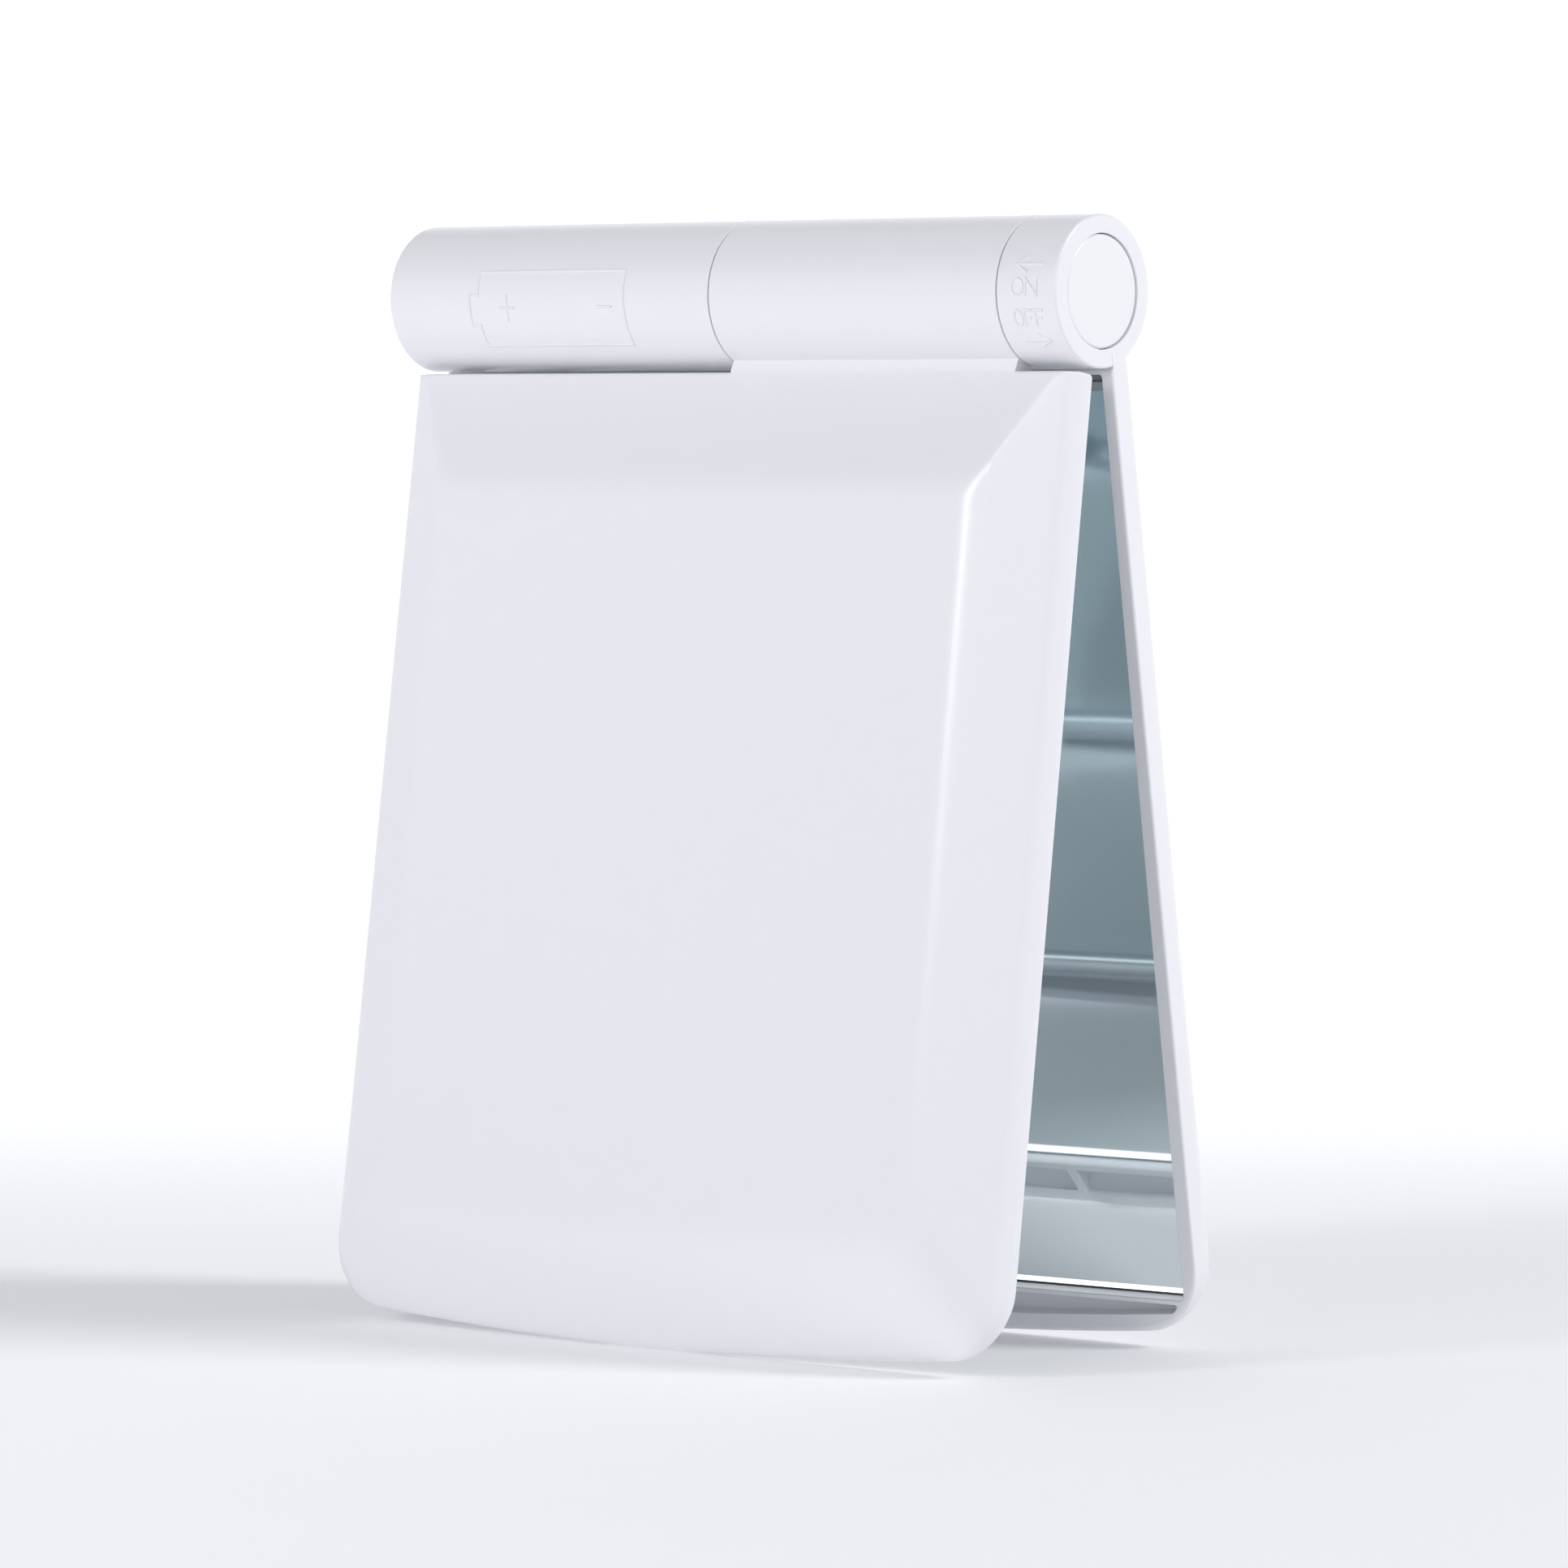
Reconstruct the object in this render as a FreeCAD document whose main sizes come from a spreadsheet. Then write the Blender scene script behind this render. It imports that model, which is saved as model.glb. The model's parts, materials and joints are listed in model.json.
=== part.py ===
"""Folding lighted makeup mirror: two bevelled halves on a barrel hinge.

The barrel holds a cell on the left and a push switch on the right. The model stands
as a tent: x runs along the barrel, z is up and the floor is at z = 0.
"""
import FreeCAD, Part
import math
import os
import re

import Sketcher

# Driving sizes, in millimetres and degrees
SIZES = {
    # Cell, its tube, contacts and cap
    "cell_radius": 4.0,
    "cell_length": 28.2,
    "cell_nub_radius": 1.9,
    "cell_nub": 0.8,
    "cell_gap": 0.3,
    "contact_gap": 0.1,
    "contact": 0.4,
    "cap_head": 2.4,
    "cap_spigot": 1.6,
    "cap_gap": 0.2,
    "cap_notch": 0.8,
    "cap_notch_width": 5.0,
    "tube_wall": 1.7,
    "tube_web": 1.5,
    "tube_reach": 6.0,
    "strip_metal": 0.4,
    "strip_metal_width": 2.4,
    "cell_spring_length": 4.0,
    "cell_spring_radius": 2.6,
    "cell_spring_wire": 0.5,
    "cell_spring_pitch": 1.1,
    # Barrel and hinge, built up round the tube
    "barrel_wall": 2.0,
    "barrel_inset": 0.05,
    "left_seam": -0.45,
    "right_knuckle": 7.75,
    "seam_gap": 0.25,
    "press_gap": 0.02,
    "running_gap": 0.05,
    "barrel_edge_round": 0.3,
    "tab_inset": 0.35,
    "tab_root": 1.0,
    "tilt": 8.24,
    # Outline of both halves, measured down from the hinge axis
    "top_gap": 0.7,
    "panel_bottom": 112.7,
    "half_width_top": 46.1,
    "half_width_bottom": 46.5,
    "bottom_arc_radius": 500.0,
    "bottom_corner_round": 7.0,
    "top_corner_round": 1.0,
    # Thickness of both halves, measured out from the parting plane
    "rim_gap": 0.4,
    "crown": 6.85,
    "side_bevel": 9.5,
    "top_bevel": 12.5,
    "bottom_bevel": 11.0,
    "front_side_shoulder": 2.4,
    "back_side_shoulder": 3.9,
    "front_top_shoulder": 3.3,
    "back_top_shoulder": 4.5,
    "bottom_shoulder": 3.0,
    "wall": 1.5,
    "crown_round": 8.0,
    "edge_round": 0.9,
    "tab_out": 3.05,
    "tab_in": 0.6,
    # Mirrors, their tape and the hollow behind them
    "mirror_face": 2.25,
    "glass": 1.1,
    "tape": 0.3,
    "tape_width": 3.5,
    "front_mirror_head": 3.8,
    "back_mirror_head": 1.0,
    "mirror_corner_round": 0.8,
    "mirror_gap": 0.2,
    "hollow_margin": 1.6,
    "face_wall": 1.55,
    # Gutter below the mirror and the thumb notch
    "gutter_lip": 0.7,
    "gutter_width": 2.0,
    "gutter_wall": 2.55,
    "gutter_end": 7.1,
    "gutter_depth": 2.4,
    "gutter_rib": 1.2,
    "rib_place": 3.5,
    "notch_half": 6.0,
    "notch_depth": 0.9,
    # Light strips beside the front mirror
    "strip_rib": 0.9,
    "strip_width": 2.9,
    "strip_margin": 1.6,
    "strip_gap": 0.15,
    "lens_face": 0.6,
    "lens": 0.55,
    "led_height": 0.8,
    "led_width": 2.0,
    "led_length": 3.0,
    "led_margin": 13.0,
    "board": 0.5,
    "chip_length": 1.6,
    "chip_width": 0.8,
    "chip_height": 0.45,
    "chip_margin": 5.0,
    # Flat leads
    "flex": 0.15,
    "flex_width": 4.0,
    "flex_gap": 0.12,
    "flex_bend": 0.3,
    "flex_start_down": 1.4,
    "flex_start_out": 0.6,
    "link_margin": 2.0,
    "link_post": 0.3,
    "lead_radius": 0.8,
    # Push switch
    "button_rim": 1.85,
    "button_gap": 0.2,
    "button_head": 3.8,
    "button_travel": 2.0,
    "button_stop_gap": 0.1,
    "button_edge_round": 0.3,
    "stem_radius": 1.6,
    "stem_gap": 0.25,
    "plunger_radius": 1.1,
    "plunger_length": 4.5,
    "housing_wall": 1.2,
    "housing_end": 1.7,
    "housing_length": 14.0,
    "switch_gap": 0.7,
    "switch_length": 8.0,
    "push_spring_radius": 2.6,
    "push_spring_wire": 0.4,
    "push_spring_pitch": 0.9,
    "spring_room": 0.3,
    "spring_seat": 2.6,
}

# Radii about the barrel axis, from the cell outwards, as expressions
CELL_BORE = "(cell_radius + cell_gap)"
PIN_RADIUS = f"({CELL_BORE} + tube_wall)"
BARREL_RADIUS = f"({PIN_RADIUS} + barrel_wall)"
BUTTON_RADIUS = f"({BARREL_RADIUS} - button_rim - button_gap)"
SWITCH_HALF = f"(({PIN_RADIUS} - housing_wall - switch_gap) / sqrt(2))"

# Places along the barrel
BARREL_END = "(half_width_top - barrel_inset)"
RIGHT_SEAM = f"({BARREL_END} - right_knuckle)"
CAP_INNER = f"(cap_head - {BARREL_END})"
CELL_LEFT = f"({CAP_INNER} + cap_spigot + contact + contact_gap)"
CELL_RIGHT = f"({CELL_LEFT} + cell_length)"
WEB_LEFT = f"({CELL_RIGHT} + cell_spring_length)"
TUBE_END = "(left_seam + tube_reach)"
HEAD_INNER = f"({BARREL_END} - button_head)"
HOUSING_RIGHT = f"({HEAD_INNER} - button_travel - button_stop_gap)"
HOUSING_INNER = f"({HOUSING_RIGHT} - housing_end)"
HOUSING_LEFT = f"({HOUSING_RIGHT} - housing_length)"
SWITCH_LEFT = f"({HOUSING_INNER} - switch_length)"
FLEX_PLACE = f"(({TUBE_END} + {HOUSING_LEFT}) / 2)"

# Places down a half from the hinge axis
AXIS_UP = "(panel_bottom * cos(tilt) - rim_gap * sin(tilt))"
PANEL_TOP = f"({BARREL_RADIUS} + top_gap)"
FRONT_MIRROR_TOP = f"({PANEL_TOP} + front_mirror_head)"
BACK_MIRROR_TOP = f"({PANEL_TOP} + back_mirror_head)"
GUTTER_BOTTOM = "(panel_bottom - gutter_wall)"
GUTTER_TOP = f"({GUTTER_BOTTOM} - gutter_width)"
MIRROR_BOTTOM = f"({GUTTER_TOP} - gutter_lip - mirror_gap)"
HOLLOW_TOP = f"({PANEL_TOP} + top_bevel + hollow_margin)"
HOLLOW_BOTTOM = "(panel_bottom - bottom_bevel - hollow_margin)"
LINK_PLACE = f"({HOLLOW_TOP} + link_margin)"
STRIP_TOP = f"({FRONT_MIRROR_TOP} + strip_margin)"
STRIP_BOTTOM = f"({MIRROR_BOTTOM} - strip_margin)"
CHIP_PLACE = f"({STRIP_TOP} + chip_margin)"
LED_FIRST = f"({STRIP_TOP} + led_margin)"
LED_LAST = f"({STRIP_BOTTOM} - led_margin)"

# Places across a half from its middle
SIDE_SLOPE = f"((half_width_bottom - half_width_top) / (panel_bottom - {PANEL_TOP}))"
HALF_WIDTH = "min(half_width_top; half_width_bottom)"
STRIP_OUTER = f"({HALF_WIDTH} - wall)"
STRIP_INNER = f"({STRIP_OUTER} - strip_width)"
FRONT_MIRROR_HALF = f"({STRIP_INNER} - strip_rib)"
BACK_MIRROR_HALF = f"({STRIP_OUTER} - mirror_gap)"
HOLLOW_HALF = f"({HALF_WIDTH} - side_bevel - hollow_margin)"
GUTTER_HALF = f"({HALF_WIDTH} - gutter_end)"

# Depths out from the parting plane
LEDGE = "(mirror_face + glass + tape)"
HOLLOW_DEPTH = "(crown - face_wall)"
BOARD_FACE = "(lens_face + lens + led_height)"
BOARD_BACK = f"({BOARD_FACE} + board)"

# Lamps in each light strip
LEDS = 4
# Short reach past a face, so that a cut leaves no skin
OVER = "1"
# Degrees that a cut along the bottom arc sweeps, well past both corners
ARC_SWEEP = 40
# Smallest length told apart from zero
TINY = 1e-3

WORD = re.compile(r"[a-z_]+")

doc = FreeCAD.newDocument("makeup_mirror")


def fill_sheet():
    """Put every driving size into the sheet under its own name."""
    sheet = doc.addObject("Spreadsheet::Sheet", "size")
    for row, (name, value) in enumerate(SIZES.items(), start=1):
        sheet.set(f"A{row}", name)
        sheet.set(f"B{row}", str(value))
        sheet.setAlias(f"B{row}", name)
    doc.recompute()


def bound(text):
    """Expression in which each size name is read from the sheet."""
    def cell(match):
        name = match.group()
        return "size." + name if name in SIZES else name
    return WORD.sub(cell, text)


def new_body(label, place):
    """Body with its own label and a placement worked out from the sizes."""
    body = doc.addObject("PartDesign::Body", label)
    body.Label = label
    body.setExpression("Placement", bound(place))
    return body


def half_place(yaw):
    """Placement of a half that hangs from the hinge axis, front at yaw 0, back at yaw 180."""
    return f"placement(vector(0; 0; {AXIS_UP}); rotation({yaw}; 0; -tilt))"


FRONT = half_place(0)
BACK = half_place(180)
BARREL = f"placement(vector(0; 0; {AXIS_UP}); rotation(0; 0; 0))"


def attach(sketch, body, role, lift="0", shift="0", turn="0"):
    """Lay a sketch on one of its body's origin planes, lifted along its normal and turned about its y."""
    plane = next(item for item in body.Origin.OriginFeatures if item.Role == role)
    sketch.AttachmentSupport = [(plane, "")]
    sketch.MapMode = "FlatFace"
    place = f"placement(vector(0; {shift}; {lift}); rotation(0; {turn}; 0))"
    sketch.setExpression("AttachmentOffset", bound(place))


def polygon(body, role, corners, lift="0", shift="0", turn="0"):
    """Closed sketch whose corners are pairs of expressions."""
    sketch = body.newObject("Sketcher::SketchObject", body.Name + "_profile")
    attach(sketch, body, role, lift, shift, turn)
    count = len(corners)
    turns = [2 * math.pi * index / count for index in range(count)]
    start = [FreeCAD.Vector(math.cos(turn), math.sin(turn), 0) for turn in turns]
    for index in range(count):
        sketch.addGeometry(Part.LineSegment(start[index], start[(index + 1) % count]))
    for index in range(count):
        sketch.addConstraint(Sketcher.Constraint("Coincident", index, 2, (index + 1) % count, 1))
    for index, (across, along) in enumerate(corners):
        pin_down(sketch, "DistanceX", index, start[index].x, across)
        pin_down(sketch, "DistanceY", index, start[index].y, along)
    return sketch


def pin_down(sketch, kind, index, value, text):
    """Tie one coordinate of a sketch corner to an expression."""
    number = sketch.addConstraint(Sketcher.Constraint(kind, -1, 1, index, 1, value))
    sketch.setExpression(f"Constraints[{number}]", bound(text))


def rectangle(body, role, low, high, lift="0", shift="0"):
    """Closed sketch of a rectangle between two corners."""
    corners = [low, (high[0], low[1]), high, (low[0], high[1])]
    return polygon(body, role, corners, lift, shift)


def circle(body, radius, lift):
    """Sketch of a circle about the barrel axis, at a place along it."""
    sketch = body.newObject("Sketcher::SketchObject", body.Name + "_round")
    attach(sketch, body, "YZ_Plane", lift)
    sketch.addGeometry(Part.Circle(FreeCAD.Vector(0, 0, 0), FreeCAD.Vector(0, 0, 1), 1.0))
    sketch.addConstraint(Sketcher.Constraint("Coincident", 0, 3, -1, 1))
    number = sketch.addConstraint(Sketcher.Constraint("Radius", 0, 1.0))
    sketch.setExpression(f"Constraints[{number}]", bound(radius))
    return sketch


def pad(body, sketch, length, both_ways=False):
    """Raise a sketch along its normal."""
    feature = body.newObject("PartDesign::Pad", body.Name + "_pad")
    feature.Profile = sketch
    feature.Midplane = both_ways
    feature.setExpression("Length", bound(length))
    return feature


def pocket(body, sketch, length, forward=True, both_ways=False):
    """Cut a sketch into the body, along its normal or against it, and check that it cut."""
    doc.recompute()
    before = body.Shape.Volume
    feature = body.newObject("PartDesign::Pocket", body.Name + "_pocket")
    feature.Profile = sketch
    feature.Reversed = forward
    feature.Midplane = both_ways
    feature.setExpression("Length", bound(length))
    check_cut(body, before)
    return feature


def groove(body, sketch, angle):
    """Cut a sketch round its own horizontal axis, half the angle to each side."""
    doc.recompute()
    before = body.Shape.Volume
    feature = body.newObject("PartDesign::Groove", body.Name + "_groove")
    feature.Profile = sketch
    feature.ReferenceAxis = (sketch, ["H_Axis"])
    feature.Angle = angle
    feature.Midplane = True
    check_cut(body, before)
    return feature


def check_cut(body, before):
    """Stop if a cut took nothing away."""
    doc.recompute()
    if not body.Shape.Volume < before:
        raise RuntimeError(f"a cut in {body.Label} takes nothing away")


def rounded(body, base, radius, chosen):
    """Round the edges of a feature that pass a test."""
    doc.recompute()
    names = [f"Edge{index}" for index, edge in enumerate(base.Shape.Edges, start=1) if chosen(edge)]
    feature = body.newObject("PartDesign::Fillet", body.Name + "_round_edge")
    feature.Base = (base, names)
    feature.setExpression("Radius", bound(radius))
    return feature


def turned(label, profile):
    """Piece turned about the barrel axis from a profile of places along it and radii."""
    body = new_body(label, BARREL)
    sketch = polygon(body, "XY_Plane", profile)
    feature = body.newObject("PartDesign::Revolution", label + "_turn")
    feature.Profile = sketch
    feature.ReferenceAxis = (sketch, ["H_Axis"])
    feature.Angle = 360
    return body, feature


def panel_block(label, place, across, down, out):
    """Flat piece of a half: its spans across, down from the axis and out from the parting plane."""
    body = new_body(label, place)
    sketch = rectangle(body, "XZ_Plane", (across[0], f"-({down[0]})"), (across[1], f"-({down[1]})"), out[0])
    feature = pad(body, sketch, f"({out[1]}) - ({out[0]})")
    return body, feature


def stands_out(edge):
    """True for a straight edge square to the panel."""
    first = edge.Vertexes[0].Point
    last = edge.Vertexes[-1].Point
    flat = abs(first.x - last.x) + abs(first.z - last.z)
    return flat < TINY and abs(first.y - last.y) > TINY


def low_corner(edge):
    """True for the square edges at the bottom corners of a panel."""
    return stands_out(edge) and edge.CenterOfMass.z < -SIZES["panel_bottom"] / 2


def high_corner(edge):
    """True for the square edges at the top corners of a panel."""
    return stands_out(edge) and edge.CenterOfMass.z > -SIZES["panel_bottom"] / 2


def reach_out(edge):
    """How far an edge's ends stand out from the parting plane, least first."""
    return sorted(-vertex.Point.y for vertex in edge.Vertexes)


def ridge(edge):
    """True for an edge of the flat crown and for the mitres that run down from it."""
    out = reach_out(edge)
    return out[-1] > SIZES["crown"] - TINY and out[0] > SIZES["rim_gap"] + TINY


def shoulder(edge):
    """True for an edge between a bevel and the wall below it, well under the crown."""
    out = reach_out(edge)
    highest = max(size for name, size in SIZES.items() if name.endswith("shoulder"))
    return out[0] > SIZES["rim_gap"] + TINY and out[-1] < (highest + SIZES["crown"]) / 2


def panel_form(body, half):
    """Solid form of a half: outline with its arc and corners, four bevels and soft edges."""
    outline = [
        ("-half_width_top", f"-{PANEL_TOP}"),
        ("half_width_top", f"-{PANEL_TOP}"),
        (f"half_width_bottom + {SIDE_SLOPE} * {OVER}", f"-(panel_bottom + {OVER})"),
        (f"-(half_width_bottom + {SIDE_SLOPE} * {OVER})", f"-(panel_bottom + {OVER})"),
    ]
    pad(body, polygon(body, "XZ_Plane", outline, "rim_gap"), "crown - rim_gap")
    arc_centre = "bottom_arc_radius - panel_bottom"
    below = rectangle(
        body,
        "YZ_Plane",
        (OVER, "-bottom_arc_radius"),
        (f"-(crown + {OVER})", "-(bottom_arc_radius + half_width_bottom)"),
        shift=arc_centre,
    )
    arc = groove(body, below, ARC_SWEEP)
    corners = rounded(body, arc, "bottom_corner_round", low_corner)
    rounded(body, corners, "top_corner_round", high_corner)
    bevel_bottom(body, arc_centre)
    for side in ("1", "-1"):
        bevel_side(body, side, f"{half}_side_shoulder")
    top = bevel_top(body, f"{half}_top_shoulder")
    soft = rounded(body, top, "crown_round", ridge)
    rounded(body, soft, "min(edge_round; 0.9 * top_corner_round)", shoulder)


def bevel_bottom(body, arc_centre):
    """Bevel that follows the arc of the bottom edge."""
    rise = "(crown - bottom_shoulder) / bottom_bevel"
    cut = [
        (f"-(bottom_shoulder - {rise})", f"-(bottom_arc_radius + {OVER})"),
        (f"-(crown + {rise})", f"-(bottom_arc_radius - bottom_bevel - {OVER})"),
        (f"-(crown + {rise})", f"-(bottom_arc_radius + {OVER})"),
    ]
    groove(body, polygon(body, "YZ_Plane", cut, shift=arc_centre), ARC_SWEEP)


def bevel_side(body, side, shoulder):
    """Bevel along one side, parallel to it."""
    rise = f"(crown - {shoulder}) / side_bevel"
    edge = f"(half_width_top - {SIDE_SLOPE} * {PANEL_TOP}) * cos(atan({SIDE_SLOPE}))"
    cut = [
        (f"{side} * ({edge} + {OVER})", f"-({shoulder} - {rise})"),
        (f"{side} * ({edge} - side_bevel - {OVER})", f"-(crown + {rise})"),
        (f"{side} * ({edge} + {OVER})", f"-(crown + {rise})"),
    ]
    sketch = polygon(body, "XY_Plane", cut, turn=f"-{side} * atan({SIDE_SLOPE})")
    pocket(body, sketch, "panel_bottom + half_width_bottom", forward=False)


def bevel_top(body, shoulder):
    """Bevel along the top edge."""
    rise = f"(crown - {shoulder}) / top_bevel"
    cut = [
        (f"-({shoulder} - {rise})", f"-({PANEL_TOP} - {OVER})"),
        (f"-(crown + {rise})", f"-({PANEL_TOP} + top_bevel + {OVER})"),
        (f"-(crown + {rise})", f"-({PANEL_TOP} - {OVER})"),
    ]
    across = "2 * (half_width_top + half_width_bottom)"
    return pocket(body, polygon(body, "YZ_Plane", cut), across, both_ways=True)


def panel_cut(body, across, down, start, end):
    """Square-cornered recess in a half, between two depths from the parting plane."""
    sketch = rectangle(body, "XZ_Plane", (across[0], f"-({down[0]})"), (across[1], f"-({down[1]})"), start)
    return pocket(body, sketch, f"({end}) - ({start})")


def mirror_seat(body, half, top):
    """Recess for a mirror on its tape, with the hollow behind it."""
    seat = f"({half} + mirror_gap)"
    recess = panel_cut(
        body,
        (f"-{seat}", seat),
        (f"{top} - mirror_gap", f"{MIRROR_BOTTOM} + mirror_gap"),
        "rim_gap",
        LEDGE,
    )
    rounded(body, recess, "mirror_corner_round", lambda edge: low_corner(edge) and inside_seat(edge))
    panel_cut(body, (f"-{HOLLOW_HALF}", HOLLOW_HALF), (HOLLOW_TOP, HOLLOW_BOTTOM), LEDGE, HOLLOW_DEPTH)


def inside_seat(edge):
    """True for an edge that runs from the rim to the floor of a mirror recess."""
    out = reach_out(edge)
    floor = SIZES["mirror_face"] + SIZES["glass"] + SIZES["tape"]
    return abs(out[0] - SIZES["rim_gap"]) < TINY and abs(out[-1] - floor) < TINY


def knuckle(body, start, end):
    """One knuckle of the barrel with the tab that joins it to the panel."""
    low = ("-tab_out", f"-({PANEL_TOP} + tab_root)")
    high = ("-tab_in", f"-{PIN_RADIUS}")
    tab = rectangle(body, "YZ_Plane", low, high, f"{start} + tab_inset")
    pad(body, tab, f"({end}) - ({start}) - 2 * tab_inset")
    return pad(body, circle(body, BARREL_RADIUS, start), f"({end}) - ({start})")


def barrel_end(edge):
    """True for a whole circle at either end of the barrel."""
    end = SIZES["half_width_top"] - SIZES["barrel_inset"]
    return edge.isClosed() and abs(abs(edge.CenterOfMass.x) - end) < TINY


def bore(body, radius, start, end):
    """Round hole along the barrel axis."""
    pocket(body, circle(body, radius, start), f"({end}) - ({start})")


def front_shell():
    """Front half: bevelled panel, middle knuckle, seats for the mirror and the light strips."""
    body = new_body("front_shell", FRONT)
    panel_form(body, "front")
    mirror_seat(body, FRONT_MIRROR_HALF, FRONT_MIRROR_TOP)
    for side in ("1", "-1"):
        panel_cut(
            body,
            (f"{side} * ({STRIP_INNER} - strip_gap)", f"{side} * ({STRIP_OUTER} + strip_gap)"),
            (f"{STRIP_TOP} - strip_gap", f"{STRIP_BOTTOM} + strip_gap"),
            "rim_gap",
            BOARD_BACK,
        )
        panel_cut(
            body,
            (f"rib_place + {side} * gutter_rib / 2", f"{side} * {GUTTER_HALF}"),
            (GUTTER_TOP, GUTTER_BOTTOM),
            "rim_gap",
            "gutter_depth",
        )
    panel_cut(
        body,
        ("-notch_half", "notch_half"),
        (GUTTER_BOTTOM, f"panel_bottom + {OVER}"),
        "rim_gap",
        "rim_gap + notch_depth",
    )
    flex_ways(body)
    start = "left_seam + seam_gap / 2"
    end = f"{RIGHT_SEAM} - seam_gap / 2"
    knuckle(body, start, end)
    bore(body, f"{PIN_RADIUS} + running_gap", start, end)
    flex_slot(body)
    return body


def flex_ways(body):
    """Shallow channels behind the front mirror for the flat leads."""
    floor = f"({LEDGE} + flex + 2 * flex_gap)"
    panel_cut(
        body,
        (f"{FLEX_PLACE} - flex_width / 2 - flex_gap", f"{FLEX_PLACE} + flex_width / 2 + flex_gap"),
        (FRONT_MIRROR_TOP, f"{HOLLOW_TOP} + {OVER}"),
        LEDGE,
        floor,
    )
    for side in ("1", "-1"):
        panel_cut(
            body,
            (f"{side} * ({HOLLOW_HALF} - {OVER})", f"{side} * ({STRIP_INNER} + link_post + 2 * flex_gap)"),
            (f"{LINK_PLACE} - flex_gap", f"{LINK_PLACE} + flex_width + flex_gap"),
            "mirror_face",
            floor,
        )


def flex_line(spread):
    """Corners of the flat lead in its slanted run, widened by a gap on both faces."""
    out_end = f"({LEDGE} + flex_gap)"
    return [
        (f"-(flex_start_out - {spread})", "-flex_start_down"),
        (f"-(flex_start_out + flex + {spread})", "-flex_start_down"),
        (f"-({out_end} + flex + {spread})", f"-({FRONT_MIRROR_TOP} + flex_bend)"),
        (f"-({out_end} - {spread})", f"-({FRONT_MIRROR_TOP} + flex_bend)"),
    ]


def flex_slot(body):
    """Slanted slot that brings the flat lead from the barrel into the front half."""
    sketch = polygon(body, "YZ_Plane", flex_line("flex_gap"), f"{FLEX_PLACE} - flex_width / 2 - flex_gap")
    pocket(body, sketch, "flex_width + 2 * flex_gap")


def back_shell():
    """Back half: bevelled panel, left and right knuckles, mirror seat and gutter."""
    body = new_body("back_shell", BACK)
    panel_form(body, "back")
    mirror_seat(body, BACK_MIRROR_HALF, BACK_MIRROR_TOP)
    panel_cut(
        body,
        (f"-{GUTTER_HALF}", GUTTER_HALF),
        (GUTTER_TOP, GUTTER_BOTTOM),
        "rim_gap",
        "gutter_depth",
    )
    left_start = "-left_seam + seam_gap / 2"
    right_end = f"-{RIGHT_SEAM} - seam_gap / 2"
    knuckle(body, left_start, BARREL_END)
    barrel = knuckle(body, f"-{BARREL_END}", right_end)
    rounded(body, barrel, "barrel_edge_round", barrel_end)
    bore(body, f"{PIN_RADIUS} + press_gap", left_start, BARREL_END)
    bore(body, f"{PIN_RADIUS} + press_gap", f"-{HOUSING_RIGHT}", right_end)
    bore(body, f"{BUTTON_RADIUS} + button_gap", f"-{BARREL_END}", f"-{HOUSING_RIGHT}")
    return body


def mirror(label, place, half, top):
    """Glass plate with rounded lower corners."""
    body, plate = panel_block(
        label,
        place,
        (f"-{half}", half),
        (top, MIRROR_BOTTOM),
        ("mirror_face", "mirror_face + glass"),
    )
    rounded(body, plate, "mirror_corner_round", low_corner)
    return body


def tapes(name, place):
    """Two strips of mounting tape under the sides of a mirror."""
    inner = f"({HOLLOW_HALF} + mirror_gap)"
    bodies = []
    for word, side in (("left", "-1"), ("right", "1")):
        body, _ = panel_block(
            f"{name}_tape_{word}",
            place,
            (f"{side} * {inner}", f"{side} * ({inner} + tape_width)"),
            (f"{LINK_PLACE} + flex_width + tape_width", f"{MIRROR_BOTTOM} - mirror_corner_round"),
            ("mirror_face + glass", LEDGE),
        )
        bodies.append(body)
    return bodies


def light_strip(word, side):
    """Board with four lamps, a chip resistor and a frosted lens, on one side of the front mirror."""
    across = (f"{side} * {STRIP_INNER}", f"{side} * {STRIP_OUTER}")
    down = (STRIP_TOP, STRIP_BOTTOM)
    middle = f"{side} * ({STRIP_INNER} + strip_width / 2)"
    bodies = []
    board, _ = panel_block(f"led_board_{word}", FRONT, across, down, (BOARD_FACE, BOARD_BACK))
    lens, _ = panel_block(f"light_lens_{word}", FRONT, across, down, ("lens_face", "lens_face + lens"))
    chip, _ = panel_block(
        f"resistor_{word}",
        FRONT,
        (f"{middle} - chip_width / 2", f"{middle} + chip_width / 2"),
        (CHIP_PLACE, f"{CHIP_PLACE} + chip_length"),
        (f"{BOARD_FACE} - chip_height", BOARD_FACE),
    )
    bodies += [board, lens, chip]
    for number in range(LEDS):
        place = f"({LED_FIRST} + {number} * ({LED_LAST} - {LED_FIRST}) / {LEDS - 1})"
        lamp, _ = panel_block(
            f"led_{word}_{number + 1}",
            FRONT,
            (f"{middle} - led_width / 2", f"{middle} + led_width / 2"),
            (f"{place} - led_length / 2", f"{place} + led_length / 2"),
            ("lens_face + lens", BOARD_FACE),
        )
        bodies.append(lamp)
    return bodies


def hinge_flex():
    """Flat lead from the barrel down behind the front mirror."""
    body = new_body("hinge_flex", FRONT)
    bend_out = f"({LEDGE} + flex_gap)"
    slant = flex_line("0")
    corners = [
        slant[0],
        slant[1],
        slant[2],
        (f"-({bend_out} + flex)", f"-{LINK_PLACE}"),
        (f"-{bend_out}", f"-{LINK_PLACE}"),
        slant[3],
    ]
    pad(body, polygon(body, "YZ_Plane", corners, f"{FLEX_PLACE} - flex_width / 2"), "flex_width")
    return body


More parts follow.
